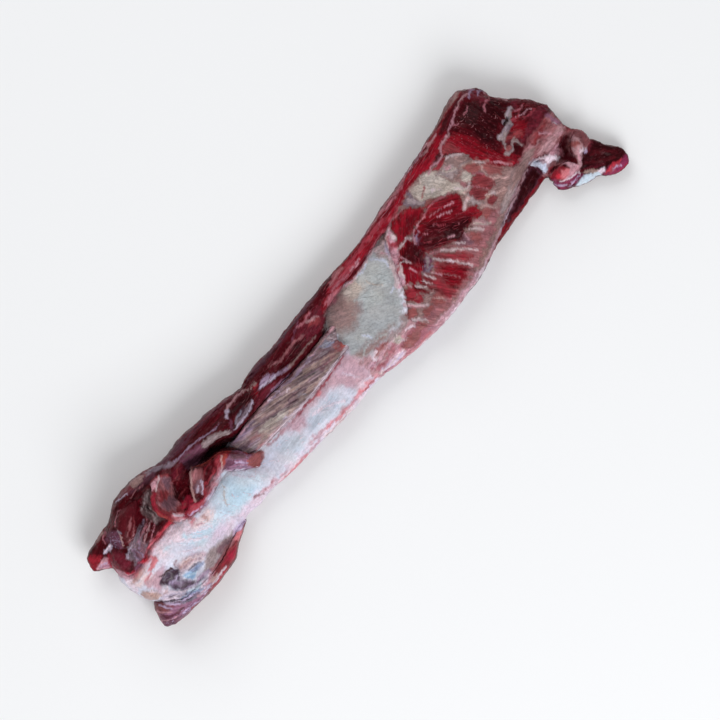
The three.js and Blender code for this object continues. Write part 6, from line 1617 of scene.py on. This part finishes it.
def shaded(tree, tone, fibre, stringy, strands, speckle, crease):
    """The tone with dark and light fibres, grit, and the painted shade and highlight of creases."""
    swing = times(tree, times(tree, beyond(tree, strands, 0.5), stringy), STRAND_SWING)
    bundle = times(tree, beyond(tree, grainy(tree, fibre, BUNDLES), 0.5), stringy)
    swing = plus(tree, swing, times(tree, bundle, BUNDLE_SWING))
    swing = plus(tree, swing, times(tree, crease, CREASE_SHADING))
    light = plus(tree, plus(tree, swing, times(tree, beyond(tree, speckle, 0.5), GRIT)), 1.0)
    shade = tree.nodes.new("ShaderNodeVectorMath")
    shade.operation = "SCALE"
    link(tree, tone, shade.inputs[0])
    link(tree, light, shade.inputs["Scale"])
    return shade.outputs[0]


def marbled(tree, colour, fibre, stringy, flecked):
    """The colour with flecks of fat, and thin winding veins of it between the fibres."""
    marbling = grainy(tree, fibre, MARBLING)
    fleck = times(tree, times(tree, remap(tree, marbling, *FLECK_EDGE, 0, 1), flecked), FLECK_STRENGTH)
    winding = off_middle(tree, grainy(tree, fibre, WINDING))
    vein = times(tree, remap(tree, winding, *VEIN_EDGE, VEIN_STRENGTH, 0), stringy)
    vein = times(tree, vein, remap(tree, marbling, *VEINED, 0, 1))
    blend = tree.nodes.new("ShaderNodeMix")
    blend.data_type = "RGBA"
    link(tree, maths(tree, "MINIMUM", maths(tree, "MAXIMUM", fleck, vein), MOST_FAT), blend.inputs[0])
    link(tree, colour, blend.inputs[6])
    blend.inputs[7].default_value = FLECK_TONE
    return blend.outputs[2]


# %% One material for each kind of flesh
# Damp spots: levels of the noise, and what they take from and add to the roughness
DAMP_EDGE, DAMPER, DRIER = (0.3, 0.7), 0.08, 0.1
# What full wetness adds to the roughness, and the roughness of the film of juice
WET_CHANGE, FILM_ROUGHNESS = -0.2, 0.12
# Strength of the relief, and the share of grit and creases in it
RELIEF, GRIT_RELIEF, CREASE_RELIEF = 0.6, 0.5, 1.6


def flesh(name, pieces, rough, coat, through, radius, bump, shine):
    """A wet tissue material that reads the marks of each point."""
    material = bpy.data.materials.new(name)
    material.use_nodes = True
    tree = material.node_tree
    shader = tree.nodes["Principled BSDF"]
    tone, fibre = mark(tree, "tone"), mark(tree, "fibre").outputs["Vector"]
    nature = tree.nodes.new("ShaderNodeSeparateXYZ")
    link(tree, mark(tree, "nature").outputs["Vector"], nature.inputs[0])
    wet, stringy, flecked = nature.outputs
    place = tree.nodes.new("ShaderNodeTexCoord").outputs["Object"]
    strands, speckle = grainy(tree, fibre, STRANDS), grainy(tree, place, SPECKLE)
    crease = creases(tree, fibre, tone.outputs["Alpha"])
    colour = shaded(tree, tone.outputs["Color"], fibre, stringy, strands, speckle, crease)
    link(tree, marbled(tree, colour, fibre, stringy, flecked), shader.inputs["Base Color"])
    # Roughness falls where the piece is wet
    uneven = remap(tree, grainy(tree, place, DAMP), *DAMP_EDGE, rough - DAMPER, rough + DRIER)
    link(tree, plus(tree, times(tree, wet, WET_CHANGE), uneven), shader.inputs["Roughness"])
    # Relief finer than the mesh
    height = plus(tree, times(tree, strands, stringy), times(tree, speckle, GRIT_RELIEF))
    relief = tree.nodes.new("ShaderNodeBump")
    relief.inputs["Strength"].default_value = RELIEF
    relief.inputs["Distance"].default_value = bump * MM
    link(tree, plus(tree, height, times(tree, crease, CREASE_RELIEF)), relief.inputs["Height"])
    link(tree, relief.outputs[0], shader.inputs["Normal"])
    shader.inputs["Coat Weight"].default_value = coat
    shader.inputs["Coat Roughness"].default_value = FILM_ROUGHNESS
    shader.inputs["Subsurface Weight"].default_value = through
    shader.inputs["Subsurface Radius"].default_value = radius
    shader.inputs["Subsurface Scale"].default_value = MM
    shader.inputs["Specular IOR Level"].default_value = shine
    for piece in pieces:
        piece.data.materials.clear()
        piece.data.materials.append(material)
    print(name, "has", len(tree.nodes), "nodes")


# %% Finish and slot of each piece
FINISHES = [
    # name, pieces, roughness, coat, light let through, its reach in red, green and blue, relief, shine
    ("wet_bone", [bone], 0.42, 0.08, 0.15, (1.4, 1.0, 0.9), 0.18, 0.25),
    ("raw_meat", [meat, threads], 0.36, 0.02, 0.03, (1.6, 0.5, 0.4), 0.2, 0.035),
    ("damp_silverskin", [flap], 0.4, 0.08, 0.15, (1.2, 0.8, 0.7), 0.2, 0.2),
    ("knuckle_flesh", [remnant], 0.36, 0.05, 0.04, (1.6, 0.5, 0.4), 0.2, 0.08),
]
for row in FINISHES:
    flesh(*row)

# %% [markdown]
# ## Floor, light and camera
# The rib lies on a plain pale floor under a wide soft light from its low side, and a weaker one fills the
# shadows. The camera looks straight down from far away, so that the rib's height doesn't bend its outline.
# It is turned so that the rib runs from the lower left to the upper right.

# %% Floor
GROUND_SIZE = 6
PALE = (0.86, 0.86, 0.86, 1)
ground = bpy.data.meshes.new("floor")
plane = bmesh.new()
bmesh.ops.create_grid(plane, x_segments=1, y_segments=1, size=GROUND_SIZE / 2)
plane.to_mesh(ground)
plane.free()
floor = bpy.data.objects.new("floor", ground)
bpy.context.scene.collection.objects.link(floor)
paper = bpy.data.materials.new("pale_floor")
paper.use_nodes = True
matt = paper.node_tree.nodes["Principled BSDF"]
matt.inputs["Base Color"].default_value = PALE
matt.inputs["Roughness"].default_value = 0.8
ground.materials.append(paper)
print("floor", GROUND_SIZE, "m wide")

# %% Camera
TURN = math.radians(-54.5)
CENTRE = Vector((1.3, -4.0, 0)) * MM
# Heights and the width that is seen, in millimetres
HEIGHT, MEAN_TOP, SEEN = 2400, 20, 396
SENSOR = 36
lens = bpy.data.cameras.new("camera")
lens.lens = SENSOR * (HEIGHT - MEAN_TOP) / SEEN
lens.clip_end = 20
camera = bpy.data.objects.new("camera", lens)
camera.location = CENTRE + Vector((0, 0, HEIGHT * MM))
camera.rotation_euler = (0, 0, TURN)
bpy.context.scene.collection.objects.link(camera)
bpy.context.scene.camera = camera
print("lens", round(lens.lens, 1), "mm")


# %% Lights
def lamp(name, place, size, power, tint):
    """A square soft light that faces the middle of the rib."""
    data = bpy.data.lights.new(name, "AREA")
    data.size = size
    data.energy = power
    data.color = tint
    light = bpy.data.objects.new(name, data)
    light.location = place
    light.rotation_euler = (-Vector(place)).to_track_quat("-Z", "Y").to_euler()
    bpy.context.scene.collection.objects.link(light)
    print(name, power, "W")


# Places and sizes in metres, and power in watts
lamp("window_light", (-0.7, -1.2, 1.25), 1.2, 24, (0.97, 0.98, 1.0))
lamp("fill_light", (0.8, 1.4, 1.25), 1.6, 18, (0.98, 0.99, 1.0))
SKY_TINT, SKY_STRENGTH = (0.97, 0.98, 1.0, 1), 0.45
world = bpy.data.worlds.new("studio")
world.use_nodes = True
backdrop = world.node_tree.nodes["Background"]
backdrop.inputs[0].default_value = SKY_TINT
backdrop.inputs[1].default_value = SKY_STRENGTH
bpy.context.scene.world = world
bpy.context.scene.view_settings.view_transform = "Standard"
